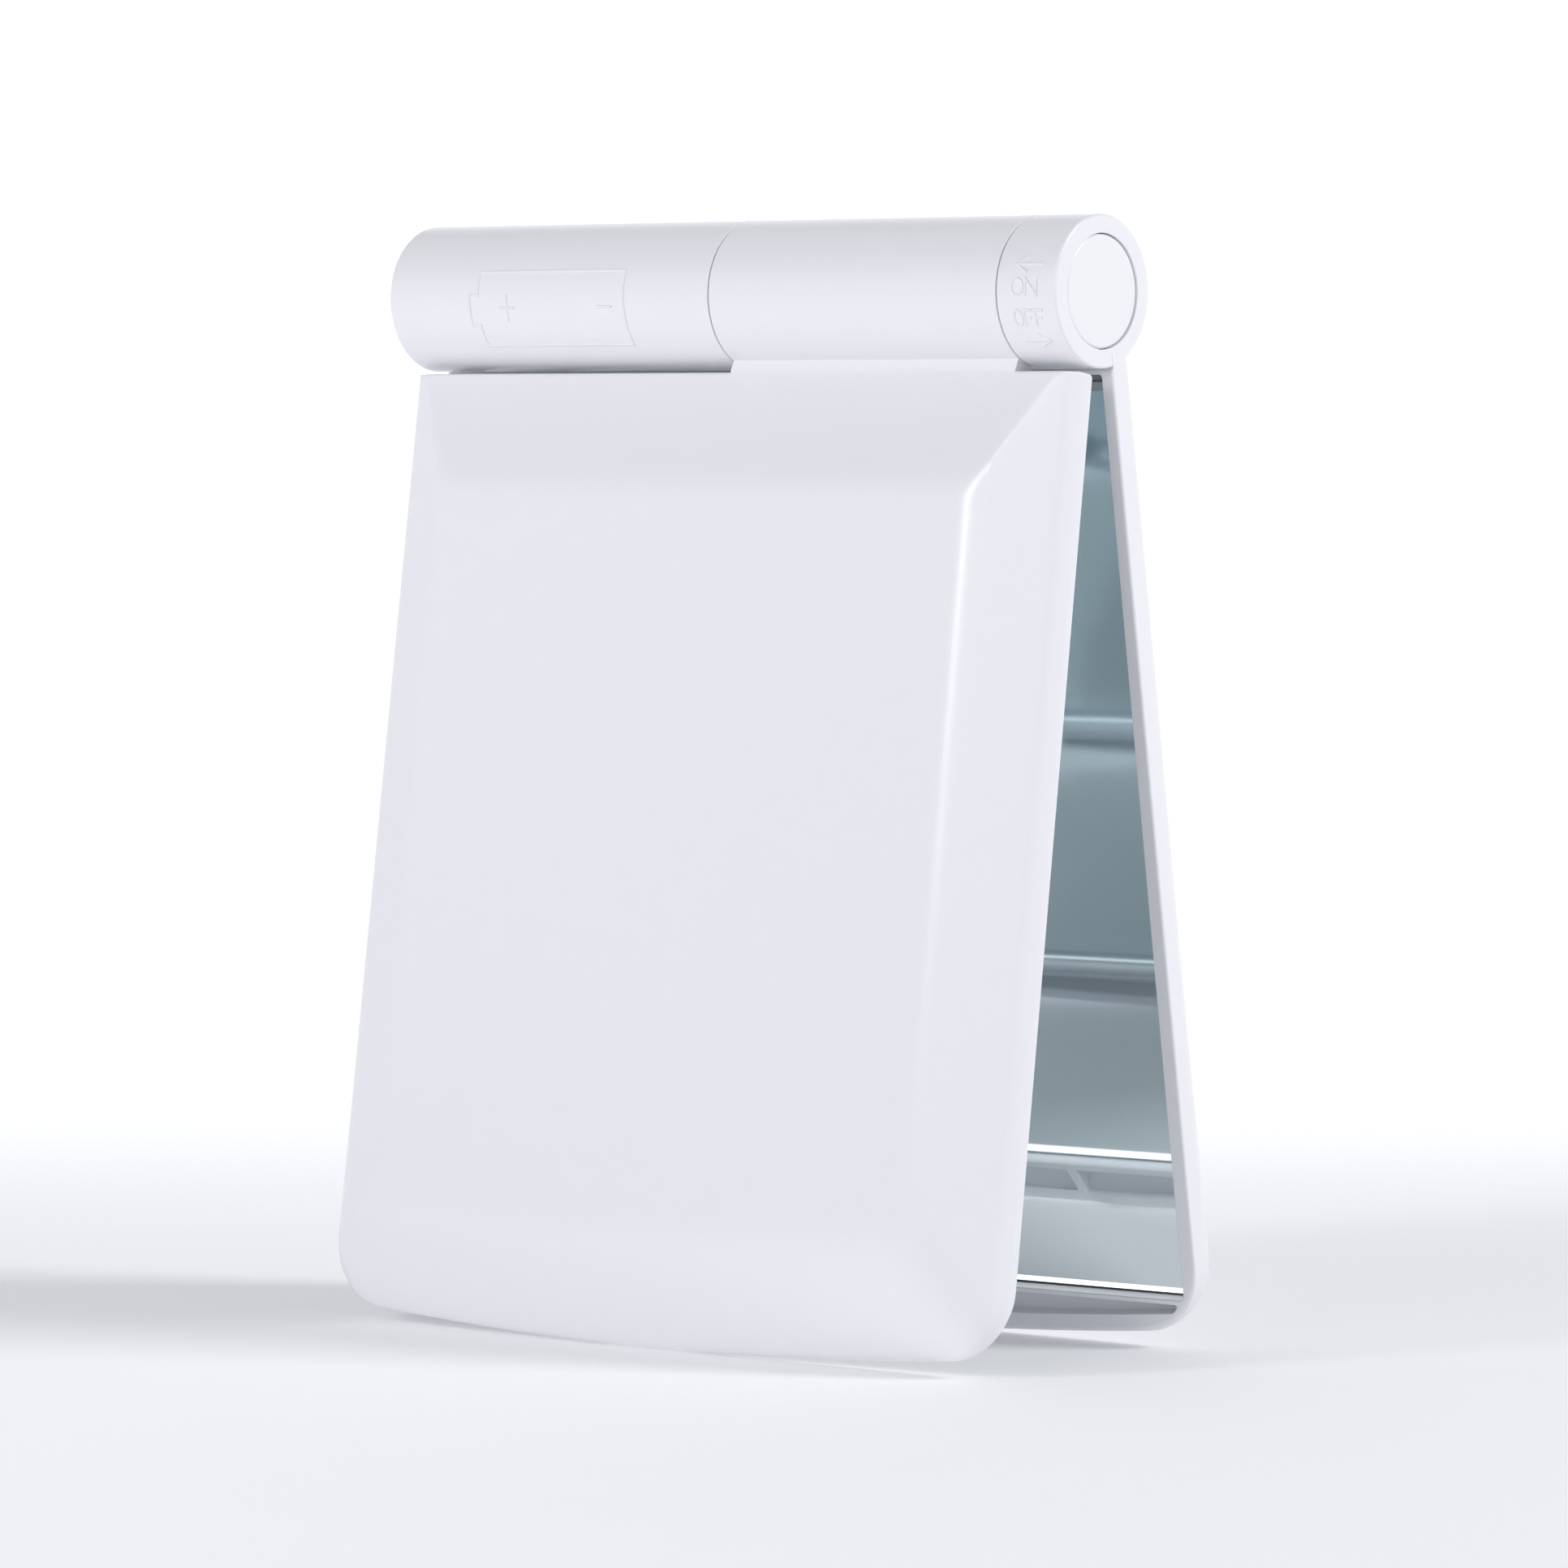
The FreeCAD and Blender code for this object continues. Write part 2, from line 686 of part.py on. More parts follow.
def board_link():
    """Flat lead that joins the two lamp boards behind the front mirror."""
    body = new_body("board_link", FRONT)
    near = f"({LEDGE} + flex_gap)"
    far = f"({LEDGE} + flex_gap + flex)"
    inner = f"({STRIP_INNER} + flex_gap)"
    outer = f"({STRIP_INNER} + flex_gap + link_post)"
    corners = [
        (f"-{outer}", f"-{BOARD_BACK}"),
        (f"-{outer}", f"-{far}"),
        (outer, f"-{far}"),
        (outer, f"-{BOARD_BACK}"),
        (inner, f"-{BOARD_BACK}"),
        (inner, f"-{near}"),
        (f"-{inner}", f"-{near}"),
        (f"-{inner}", f"-{BOARD_BACK}"),
    ]
    pad(body, polygon(body, "XY_Plane", corners, f"-({LINK_PLACE} + flex_width)"), "flex_width")
    return body


def cell_tube():
    """Hinge sleeve that holds the cell: open at the left, a web behind the spring, hollow beyond."""
    web_right = f"({WEB_LEFT} + tube_web)"
    profile = [
        (CAP_INNER, PIN_RADIUS),
        (TUBE_END, PIN_RADIUS),
        (TUBE_END, CELL_BORE),
        (web_right, CELL_BORE),
        (web_right, "lead_radius + stem_gap"),
        (WEB_LEFT, "lead_radius + stem_gap"),
        (WEB_LEFT, CELL_BORE),
        (CAP_INNER, CELL_BORE),
    ]
    body, _ = turned("battery_tube", profile)
    groove_sketch = rectangle(
        body,
        "YZ_Plane",
        ("-strip_metal_width / 2 - flex_gap", "0"),
        ("strip_metal_width / 2 + flex_gap", f"{CELL_BORE} + strip_metal + flex_gap"),
        CAP_INNER,
    )
    pocket(body, groove_sketch, f"{WEB_LEFT} - {CAP_INNER}")
    return body


def contact_strip():
    """Brass strip in the groove of the tube, from the cap end to the web."""
    body = new_body("contact_strip", BARREL)
    low = f"({CELL_BORE} + flex_gap)"
    sketch = rectangle(
        body,
        "YZ_Plane",
        ("-strip_metal_width / 2", low),
        ("strip_metal_width / 2", f"{low} + strip_metal"),
        f"{CAP_INNER} + cap_spigot",
    )
    pad(body, sketch, f"{WEB_LEFT} - {CAP_INNER} - cap_spigot")
    return body


def cell():
    """Small 12 V cell with its raised pole at the left."""
    shoulder = f"({CELL_LEFT} + cell_nub)"
    profile = [
        (CELL_LEFT, "0"),
        (CELL_LEFT, "cell_nub_radius"),
        (shoulder, "cell_nub_radius"),
        (shoulder, "cell_radius"),
        (CELL_RIGHT, "cell_radius"),
        (CELL_RIGHT, "0"),
    ]
    return turned("battery_cell", profile)[0]


def cap():
    """Plug that closes the left end of the barrel, with a nail notch in its face."""
    spigot_end = f"({CAP_INNER} + cap_spigot)"
    head = f"({PIN_RADIUS} - cap_gap)"
    profile = [
        (f"-{BARREL_END}", "0"),
        (f"-{BARREL_END}", head),
        (CAP_INNER, head),
        (CAP_INNER, f"{CELL_BORE} - cap_gap"),
        (spigot_end, f"{CELL_BORE} - cap_gap"),
        (spigot_end, "0"),
    ]
    body, _ = turned("battery_cap", profile)
    notch = rectangle(
        body,
        "YZ_Plane",
        ("-cap_notch_width / 2", f"-({head} + {OVER})"),
        ("cap_notch_width / 2", f"-({head} - cap_notch)"),
        f"-{BARREL_END} - {OVER}",
    )
    pocket(body, notch, f"{OVER} + cap_head / 2")
    return body


def cap_contact():
    """Contact disc on the inner end of the cap."""
    face = f"({CAP_INNER} + cap_spigot)"
    profile = [
        (face, "0"),
        (face, f"{CELL_BORE} - cap_gap"),
        (f"{face} + contact", f"{CELL_BORE} - cap_gap"),
        (f"{face} + contact", "0"),
    ]
    return turned("cap_contact", profile)[0]


def coil(label, start, length, radius, wire, pitch):
    """Round wire wound about the barrel axis."""
    body = new_body(label, BARREL)
    sketch = body.newObject("Sketcher::SketchObject", label + "_wire")
    attach(sketch, body, "XY_Plane")
    sketch.addGeometry(Part.Circle(FreeCAD.Vector(1, 1, 0), FreeCAD.Vector(0, 0, 1), 0.2))
    for kind, value, text in (
        ("DistanceX", 1.0, f"({start}) + {wire} / 2"),
        ("DistanceY", 1.0, radius),
    ):
        number = sketch.addConstraint(Sketcher.Constraint(kind, -1, 1, 0, 3, value))
        sketch.setExpression(f"Constraints[{number}]", bound(text))
    number = sketch.addConstraint(Sketcher.Constraint("Radius", 0, 0.2))
    sketch.setExpression(f"Constraints[{number}]", bound(f"{wire} / 2"))
    helix = body.newObject("PartDesign::AdditiveHelix", label + "_coil")
    helix.Profile = sketch
    helix.ReferenceAxis = (sketch, ["H_Axis"])
    helix.Mode = "pitch-height-angle"
    helix.setExpression("Pitch", bound(pitch))
    helix.setExpression("Height", bound(f"({length}) - {wire}"))
    return body


def switch_housing():
    """Hinge sleeve that holds the switch: a cup with a hole for the stem."""
    cavity = f"({PIN_RADIUS} - housing_wall)"
    profile = [
        (HOUSING_LEFT, PIN_RADIUS),
        (HOUSING_RIGHT, PIN_RADIUS),
        (HOUSING_RIGHT, "stem_radius + stem_gap"),
        (HOUSING_INNER, "stem_radius + stem_gap"),
        (HOUSING_INNER, cavity),
        (HOUSING_LEFT, cavity),
    ]
    return turned("switch_housing", profile)[0]


def switch_button():
    """Round button with its stem and the seat of its spring."""
    face = BARREL_END
    seat = f"({HEAD_INNER} + spring_seat)"
    seat_radius = "(push_spring_radius + push_spring_wire / 2 + spring_room)"
    stem_end = f"({HOUSING_INNER} + button_travel)"
    profile = [
        (face, "0"),
        (face, BUTTON_RADIUS),
        (HEAD_INNER, BUTTON_RADIUS),
        (HEAD_INNER, seat_radius),
        (seat, seat_radius),
        (seat, "stem_radius"),
        (stem_end, "stem_radius"),
        (stem_end, "0"),
    ]
    body, head = turned("switch_button", profile)
    rounded(body, head, "button_edge_round", barrel_end)
    return body


def switch_plunger():
    """Plunger of the switch, on the end of the button's stem."""
    stem_end = f"({HOUSING_INNER} + button_travel)"
    profile = [
        (stem_end, "0"),
        (stem_end, "plunger_radius"),
        (f"{stem_end} - plunger_length", "plunger_radius"),
        (f"{stem_end} - plunger_length", "0"),
    ]
    return turned("switch_plunger", profile)[0]


def switch_block():
    """Square latching switch, seated against the end of its housing."""
    body = new_body("switch_block", BARREL)
    low = (f"-{SWITCH_HALF}", f"-{SWITCH_HALF}")
    high = (SWITCH_HALF, SWITCH_HALF)
    pad(body, rectangle(body, "YZ_Plane", low, high, SWITCH_LEFT), "switch_length")
    depth = "plunger_length + stem_gap"
    bore(body, "plunger_radius + stem_gap", f"{HOUSING_INNER} - ({depth})", HOUSING_INNER)
    return body


def hinge_leads():
    """Lead pair on the hinge axis, from the cell's web to the switch."""
    start = WEB_LEFT
    profile = [
        (start, "0"),
        (start, "lead_radius"),
        (SWITCH_LEFT, "lead_radius"),
        (SWITCH_LEFT, "0"),
    ]
    return turned("hinge_leads", profile)[0]


def build():
    """Make every piece, in the order in which it would be put together."""
    pieces = [back_shell(), mirror("back_mirror", BACK, BACK_MIRROR_HALF, BACK_MIRROR_TOP)]
    pieces += tapes("back", BACK)
    pieces += [front_shell(), mirror("front_mirror", FRONT, FRONT_MIRROR_HALF, FRONT_MIRROR_TOP)]
    pieces += tapes("front", FRONT)
    pieces += light_strip("left", "-1")
    pieces += light_strip("right", "1")
    pieces += [hinge_flex(), board_link(), hinge_leads()]
    pieces += [cell_tube(), contact_strip(), cell(), cap(), cap_contact()]
    pieces.append(
        coil(
            "battery_spring",
            CELL_RIGHT,
            "cell_spring_length",
            "cell_spring_radius",
            "cell_spring_wire",
            "cell_spring_pitch",
        )
    )
    pieces += [switch_housing(), switch_block(), switch_button(), switch_plunger()]
    pieces.append(
        coil(
            "switch_spring",
            HOUSING_RIGHT,
            "button_travel + button_stop_gap + spring_seat",
            "push_spring_radius",
            "push_spring_wire",
            "push_spring_pitch",
        )
    )
    return pieces


def check(pieces):
    """Stop on any failed object or bad shape."""
    for item in doc.Objects:
        if {"Invalid", "Error"} & set(item.State):
            raise RuntimeError(f"{item.Label} failed: {item.State}")
    for piece in pieces:
        if piece.Shape.isNull() or not piece.Shape.isValid():
            raise RuntimeError(f"{piece.Label} has a bad shape")
        if len(piece.Shape.Solids) != 1:
            raise RuntimeError(f"{piece.Label} is not one solid")


def write(pieces):
    """Write each piece to its own file."""
    os.makedirs("parts", exist_ok=True)
    for piece in pieces:
        piece.Shape.exportStep(f"parts/{piece.Label}.step")


fill_sheet()
PIECES = build()
doc.recompute()
check(PIECES)
write(PIECES)
print(len(PIECES), "pieces written")
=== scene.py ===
"""Looks of a folding lighted makeup mirror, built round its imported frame.

Sizes are in millimetres unless a name says otherwise. A place on a half is (x, down, out): x along the
barrel, down from the hinge axis along the half, and out from the parting plane between the halves.
"""
from __future__ import annotations

import json
import logging
import math
from dataclasses import dataclass
from enum import Enum

import bpy
import numpy as np
from mathutils import Matrix, Vector
from mathutils.geometry import delaunay_2d_cdt

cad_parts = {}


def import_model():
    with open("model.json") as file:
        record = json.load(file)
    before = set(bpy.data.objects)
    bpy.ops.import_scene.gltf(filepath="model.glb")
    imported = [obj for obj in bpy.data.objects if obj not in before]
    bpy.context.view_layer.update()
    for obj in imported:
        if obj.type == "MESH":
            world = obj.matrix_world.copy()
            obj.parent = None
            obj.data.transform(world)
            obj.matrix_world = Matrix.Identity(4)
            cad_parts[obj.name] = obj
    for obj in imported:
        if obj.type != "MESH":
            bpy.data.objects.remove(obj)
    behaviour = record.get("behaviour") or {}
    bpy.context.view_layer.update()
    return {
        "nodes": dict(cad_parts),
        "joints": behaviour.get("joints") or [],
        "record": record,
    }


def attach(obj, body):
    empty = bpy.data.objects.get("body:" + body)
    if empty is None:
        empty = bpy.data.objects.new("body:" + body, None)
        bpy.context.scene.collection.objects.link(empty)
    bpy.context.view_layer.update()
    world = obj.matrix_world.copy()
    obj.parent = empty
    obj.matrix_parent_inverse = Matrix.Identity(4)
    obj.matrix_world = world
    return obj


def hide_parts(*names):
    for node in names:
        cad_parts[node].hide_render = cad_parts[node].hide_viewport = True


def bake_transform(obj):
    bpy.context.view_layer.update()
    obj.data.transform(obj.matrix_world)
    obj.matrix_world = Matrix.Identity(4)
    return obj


LOG = logging.getLogger("makeup_mirror")
MM = 0.001

# Decimals at which points are welded, least length to divide by, and closeness of points in a filled loop
WELD_DIGITS = 4
TINY = 1e-12
FILL_TOLERANCE = 1e-6

# Steps of a quarter round and of a smaller one, lines along a gutter, and the least lean at a sharp corner
ROUND_STEPS = 6
FINE_STEPS = 4
GUTTER_LINES = 41
LEAST_LEAN = 0.5

# What all finishes share
COAT_ROUGHNESS = 0.15
TONE_SPAN = (0.3, 0.7)
CLOUD_LAYERS = 3.0
GRAIN_LAYERS = 2.0
GRAIN_HEIGHT = 0.05

# A line of a mark, as places along the barrel and degrees up, and whether it is closed
Stroke = tuple[list[tuple[float, float]], bool]


class Half(Enum):
    """The two halves, with the side of the hinge plane on which each hangs."""

    FRONT = -1
    BACK = 1


class Facing(Enum):
    """Which way a turned surface looks: from the barrel axis, to it, or along it."""

    OUT = "out"
    IN = "in"
    LEFT = "left"
    RIGHT = "right"


class GlassPart(Enum):
    """Parts of a mirror plate, with the numbers of their finishes."""

    SILVERED = 0
    GROUND = 1
    SIDE = 2


class Slot(Enum):
    """Material slots of the record."""

    WHITE_SHELL = "white_shell"
    WHITE_BUTTON = "white_button"
    MIRROR_GLASS = "mirror_glass"
    MOUNTING_TAPE = "mounting_tape"
    LAMP_BOARD = "lamp_board"
    FROSTED_LENS = "frosted_lens"
    LAMP = "lamp"
    RESISTOR = "resistor"
    FLAT_LEAD = "flat_lead"
    LEAD_COVER = "lead_cover"
    INNER_PLASTIC = "inner_plastic"
    BRASS_CONTACT = "brass_contact"
    CELL_JACKET = "cell_jacket"
    SPRING_STEEL = "spring_steel"
    SWITCH_BLACK = "switch_black"


@dataclass(frozen=True)
class Finish:
    """One procedural finish: a Principled surface with drifting tone, drifting gloss and a fine grain."""

    name: str
    colour: tuple[float, float, float]
    roughness: float
    metallic: float = 0.0
    coat: float = 0.0
    # Emission strength. Among the finishes only the ground glass edge sets it, and there it is a painted
    # glint on glass that is no lamp.
    glow: float = 0.0
    drift: float = 0.02
    drift_scale: float = 60.0
    gloss_drift: float = 0.05
    grain: float = 0.02
    grain_scale: float = 2500.0
    stretch: tuple[float, float, float] = (1.0, 1.0, 1.0)

    def material(self) -> bpy.types.Material:
        """Make the material, or find the one that was made before.

        Returns:
            The material with this finish's name.
        """
        found = bpy.data.materials.get(self.name)
        if found is not None:
            return found
        material = bpy.data.materials.new(self.name)
        material.use_nodes = True
        tree = material.node_tree
        shader = tree.nodes["Principled BSDF"]
        shader.inputs["Metallic"].default_value = self.metallic
        shader.inputs["Coat Weight"].default_value = self.coat
        shader.inputs["Coat Roughness"].default_value = COAT_ROUGHNESS
        shader.inputs["Emission Color"].default_value = (*self.colour, 1.0)
        shader.inputs["Emission Strength"].default_value = self.glow
        place = tree.nodes.new("ShaderNodeTexCoord")
        spread = tree.nodes.new("ShaderNodeMapping")
        spread.inputs["Scale"].default_value = self.stretch
        tree.links.new(place.outputs["Object"], spread.inputs["Vector"])
        cloud = self._noise(tree, spread, self.drift_scale, CLOUD_LAYERS)
        self._tone(tree, cloud, shader)
        self._gloss(tree, cloud, shader)
        grain = self._noise(tree, spread, self.grain_scale, GRAIN_LAYERS)
        self._relief(tree, grain, shader)
        material.diffuse_color = (*self.colour, 1.0)
        return material

    def _noise(
        self, tree: bpy.types.NodeTree, spread: bpy.types.Node, scale: float, detail: float
    ) -> bpy.types.Node:
        """Add a noise texture.

        Args:
            tree: node tree of the material.
            spread: mapping that stretches the pattern.
            scale: how fine the noise is, per metre.
            detail: number of finer layers.

        Returns:
            The noise node.
        """
        noise = tree.nodes.new("ShaderNodeTexNoise")
        noise.inputs["Scale"].default_value = scale
        noise.inputs["Detail"].default_value = detail
        tree.links.new(spread.outputs["Vector"], noise.inputs["Vector"])
        return noise

    def _tone(self, tree: bpy.types.NodeTree, cloud: bpy.types.Node, shader: bpy.types.Node) -> None:
        """Let the colour drift a little round its own value.

        Args:
            tree: node tree of the material.
            cloud: slow noise.
            shader: Principled node.
        """
        ramp = tree.nodes.new("ShaderNodeValToRGB")
        low, high = ramp.color_ramp.elements
        low.position, high.position = TONE_SPAN
        low.color = (*(max(0.0, part * (1.0 - self.drift)) for part in self.colour), 1.0)
        high.color = (*(min(1.0, part * (1.0 + self.drift)) for part in self.colour), 1.0)
        tree.links.new(cloud.outputs["Fac"], ramp.inputs["Fac"])
        tree.links.new(ramp.outputs["Color"], shader.inputs["Base Color"])

    def _gloss(self, tree: bpy.types.NodeTree, cloud: bpy.types.Node, shader: bpy.types.Node) -> None:
        """Let the roughness drift with the same slow noise.

        Args:
            tree: node tree of the material.
            cloud: slow noise.
            shader: Principled node.
        """
        span = tree.nodes.new("ShaderNodeMapRange")
        span.inputs["To Min"].default_value = max(0.0, self.roughness - self.gloss_drift)
        span.inputs["To Max"].default_value = min(1.0, self.roughness + self.gloss_drift)
        tree.links.new(cloud.outputs["Fac"], span.inputs["Value"])
        tree.links.new(span.outputs["Result"], shader.inputs["Roughness"])

    def _relief(self, tree: bpy.types.NodeTree, grain: bpy.types.Node, shader: bpy.types.Node) -> None:
        """Add the fine grain of the surface as a bump.

        Args:
            tree: node tree of the material.
            grain: fine noise.
            shader: Principled node.
        """
        bump = tree.nodes.new("ShaderNodeBump")
        bump.inputs["Strength"].default_value = self.grain
        bump.inputs["Distance"].default_value = GRAIN_HEIGHT * MM
        tree.links.new(grain.outputs["Fac"], bump.inputs["Height"])
        tree.links.new(bump.outputs["Normal"], shader.inputs["Normal"])


# The ground glass edge glows though it is no lamp: a painted glint that brightens the strip and its copies in
# the mirrors.
GLOWING_GROUND_EDGE = Finish("ground_glass_edge_painted_glint", (0.93, 0.97, 0.98), 0.35, glow=1.0, drift=0.01, grain=0.05)
GLASS_SIDE = Finish("glass_side", (0.16, 0.2, 0.21), 0.25, drift=0.1, grain=0.05)

FINISHES: dict[Slot, Finish] = {
    Slot.WHITE_SHELL: Finish("white_shell", (0.75, 0.736, 0.9), 0.26, coat=0.1, drift=0.006, grain=0.03),
    Slot.WHITE_BUTTON: Finish("white_button", (0.752, 0.742, 0.87), 0.3, drift=0.006, grain=0.03),
    Slot.MIRROR_GLASS: Finish(
        "mirror_glass", (0.885, 0.915, 0.965), 0.006, metallic=1.0, drift=0.01, gloss_drift=0.004, grain=0.0
    ),
    Slot.MOUNTING_TAPE: Finish("mounting_tape", (0.82, 0.82, 0.8), 0.8, drift=0.05, grain=0.3),
    Slot.LAMP_BOARD: Finish("lamp_board", (0.86, 0.88, 0.85), 0.45, drift=0.03),
    Slot.FROSTED_LENS: Finish("frosted_lens", (0.9, 0.91, 0.92), 0.5, coat=0.1, drift=0.02, grain=0.15),
    Slot.LAMP: Finish("lamp", (0.93, 0.86, 0.52), 0.4, drift=0.06),
    Slot.RESISTOR: Finish("resistor", (0.05, 0.05, 0.06), 0.5, drift=0.2),
    Slot.FLAT_LEAD: Finish("flat_lead", (0.62, 0.36, 0.12), 0.3, drift=0.08, stretch=(8.0, 1.0, 1.0)),
    Slot.LEAD_COVER: Finish("lead_cover", (0.45, 0.06, 0.06), 0.55, drift=0.08, grain=0.1),
    Slot.INNER_PLASTIC: Finish("inner_plastic", (0.8, 0.8, 0.8), 0.5, drift=0.02),
    Slot.BRASS_CONTACT: Finish("brass_contact", (0.78, 0.62, 0.32), 0.28, metallic=1.0, drift=0.08),
    Slot.CELL_JACKET: Finish("cell_jacket", (0.14, 0.15, 0.17), 0.35, coat=0.3, drift=0.1),
    Slot.SPRING_STEEL: Finish("spring_steel", (0.62, 0.62, 0.63), 0.3, metallic=1.0, drift=0.05),
    Slot.SWITCH_BLACK: Finish("switch_black", (0.06, 0.06, 0.07), 0.5, drift=0.15, grain=0.1),
}


@dataclass(frozen=True)
class Hinge:
    """Where the two halves hang: the height of the barrel axis and the lean of each half."""

    height: float
    lean: float

    def on_half(self, half: Half, points: np.ndarray) -> np.ndarray:
        """Turn places on a half into places in the frame.

        Args:
            half: which half the places are on.
            points: places (x, down, out) in the last axis.

        Returns:
            The same places in the frame, still in millimetres.
        """
        x, down, out = points[..., 0], points[..., 1], points[..., 2]
        along = math.sin(self.lean) * down + math.cos(self.lean) * out
        up = self.height - math.cos(self.lean) * down + math.sin(self.lean) * out
        return np.stack([x, half.value * along, up], axis=-1)

    def on_barrel(self, points: np.ndarray) -> np.ndarray:
        """Turn places on the barrel into places in the frame.

        Args:
            points: places (x, radius, turn) in the last axis, turn in radians above the front horizontal.

        Returns:
            The same places in the frame, still in millimetres.
        """
        x, radius, turn = points[..., 0], points[..., 1], points[..., 2]
        return np.stack([x, -radius * np.cos(turn), self.height + radius * np.sin(turn)], axis=-1)


def unit(vectors: np.ndarray) -> np.ndarray:
    """Vectors of length 1 in the same directions."""
    return vectors / np.maximum(np.linalg.norm(vectors, axis=-1, keepdims=True), TINY)


class Skin:
    """Faces with their own corner normals, welded into one mesh."""

    def __init__(self) -> None:
        """Start with no faces."""
        self.index: dict[tuple[float, ...], int] = {}
        self.points: list[tuple[float, ...]] = []
        self.faces: list[list[int]] = []
        self.normals: list[np.ndarray] = []
        self.finish: list[int] = []

    def corner(self, point: np.ndarray) -> int:
        """Find or add a point.

        Args:
            point: place in the frame, in millimetres.

        Returns:
            The number of the point.
        """
        key = tuple(round(float(part), WELD_DIGITS) + 0.0 for part in point)
        if key not in self.index:
            self.index[key] = len(self.points)
            self.points.append(key)
        return self.index[key]

    def face(self, corners: np.ndarray, normals: np.ndarray, finish: int = 0) -> None:
        """Add one face, wound to agree with its normals, unless it has no area.

        Args:
            corners: the corners in order.
            normals: the normal at each corner.
            finish: number of the material on the object.
        """
        numbers: list[int] = []
        kept: list[np.ndarray] = []
        for point, normal in zip(corners, normals):
            number = self.corner(point)
            if number not in numbers:
                numbers.append(number)
                kept.append(normal)
        if len(numbers) < 3:
            return
        shape = np.array([self.points[number] for number in numbers])
        facing = np.cross(shape - shape[0], np.roll(shape, -1, axis=0) - shape[0]).sum(axis=0)
        if facing @ np.sum(kept, axis=0) < 0:
            numbers.reverse()
            kept.reverse()
        self.faces.append(numbers)
        self.normals.extend(kept)
        self.finish.append(finish)

    def grid(self, points: np.ndarray, outward: np.ndarray, closed: bool = False, finish: int = 0) -> None:
        """Add a smooth sheet of four-sided faces.

        Args:
            points: rows and columns of places in the frame.
            outward: a direction, or one for each place, on the outer side of the sheet.
            closed: whether the last column joins the first.
            finish: number of the material on the object.
        """
        sheet = np.concatenate([points, points[:, :1]], axis=1) if closed else points
        padded = np.concatenate([points[:, -1:], points, points[:, :1]], axis=1) if closed else points
        across = np.gradient(padded, axis=1)
        across = across[:, 1:-1] if closed else across
        normals = np.cross(np.gradient(points, axis=0), across)
        sign = np.sign(np.sum(normals * outward, axis=-1, keepdims=True))
        sign[sign == 0] = 1.0
        normals = unit(normals * sign)
        normals = np.concatenate([normals, normals[:, :1]], axis=1) if closed else normals
        for row in range(sheet.shape[0] - 1):
            for column in range(sheet.shape[1] - 1):
                spots = ((row, column), (row, column + 1), (row + 1, column + 1), (row + 1, column))
                corners = np.array([sheet[spot] for spot in spots])
                self.face(corners, np.array([normals[spot] for spot in spots]), finish)

    def flat(self, corners: np.ndarray, normal: np.ndarray, finish: int = 0) -> None:
        """Add one flat face.

        Args:
            corners: the corners in order.
            normal: the direction that the face looks.
            finish: number of the material on the object.
        """
        self.face(corners, np.repeat(np.asarray(normal)[None], len(corners), axis=0), finish)

    def build(self, name: str, *finishes: Finish) -> bpy.types.Object:
        """Make the object.

        Args:
            name: name of the piece.
            finishes: finishes in the order of their numbers.

        Returns:
            The new object, linked to the scene.
        """
        mesh = bpy.data.meshes.new(name)
        mesh.from_pydata([[part * MM for part in point] for point in self.points], [], self.faces)
        for finish in finishes:
            mesh.materials.append(finish.material())
        mesh.polygons.foreach_set("material_index", self.finish)
        mesh.polygons.foreach_set("use_smooth", [True] * len(self.faces))
        mesh.normals_split_custom_set([tuple(normal) for normal in self.normals])
        mesh.update()
        piece = bpy.data.objects.new(name, mesh)
        bpy.context.scene.collection.objects.link(piece)
        return piece


def arc(start: float, end: float, steps: int) -> np.ndarray:
    """Angles from start to end in degrees, as radians."""
    return np.radians(np.linspace(start, end, steps + 1))


def rounded(
    corner: tuple[float, float], inward: tuple[float, float], turns: np.ndarray
) -> list[tuple[float, float]]:
    """Quarter round in a corner.

    Args:
        corner: where the sharp corner would be.
        inward: radius along both directions, with the signs that lead inwards.
        turns: angles of the points, from 0 on the one side to a quarter turn on the other.

    Returns:
        Points of the round.
    """
    (first, second), (along, across) = corner, inward
    return [(first + along * (1.0 - math.cos(t)), second + across * (1.0 - math.sin(t))) for t in turns]


def soft_min(first: np.ndarray, second: np.ndarray, reach: float) -> np.ndarray:
    """Lower of two heights, with the edge between them rounded.

    Args:
        first: heights.
        second: other heights.
        reach: difference in height within which they are blended.

    Returns:
        The blended heights.
    """
    close = np.maximum(reach - np.abs(first - second), 0.0) / reach
    return np.minimum(first, second) - close**2 * reach / 4.0


def fall(share: np.ndarray) -> np.ndarray:
    """Fall of a rounded edge, from 1 at the edge to 0 where its arc ends at a share of 1."""
    return 1.0 - np.sqrt(1.0 - np.clip(1.0 - share, 0.0, 1.0) ** 2)


def inside(points: np.ndarray, loop: np.ndarray) -> np.ndarray:
    """Tell which points lie inside a closed loop.

    Args:
        points: points in the plane.
        loop: corners of the loop.

    Returns:
        One truth value for each point.
    """
    result = np.zeros(len(points), dtype=bool)
    for start, end in zip(loop, np.roll(loop, -1, axis=0)):
        crosses = (start[1] > points[:, 1]) != (end[1] > points[:, 1])
        run = end[1] - start[1]
        share = (points[:, 1] - start[1]) / (run if run else 1.0)
        result ^= crosses & (points[:, 0] < start[0] + share * (end[0] - start[0]))
    return result


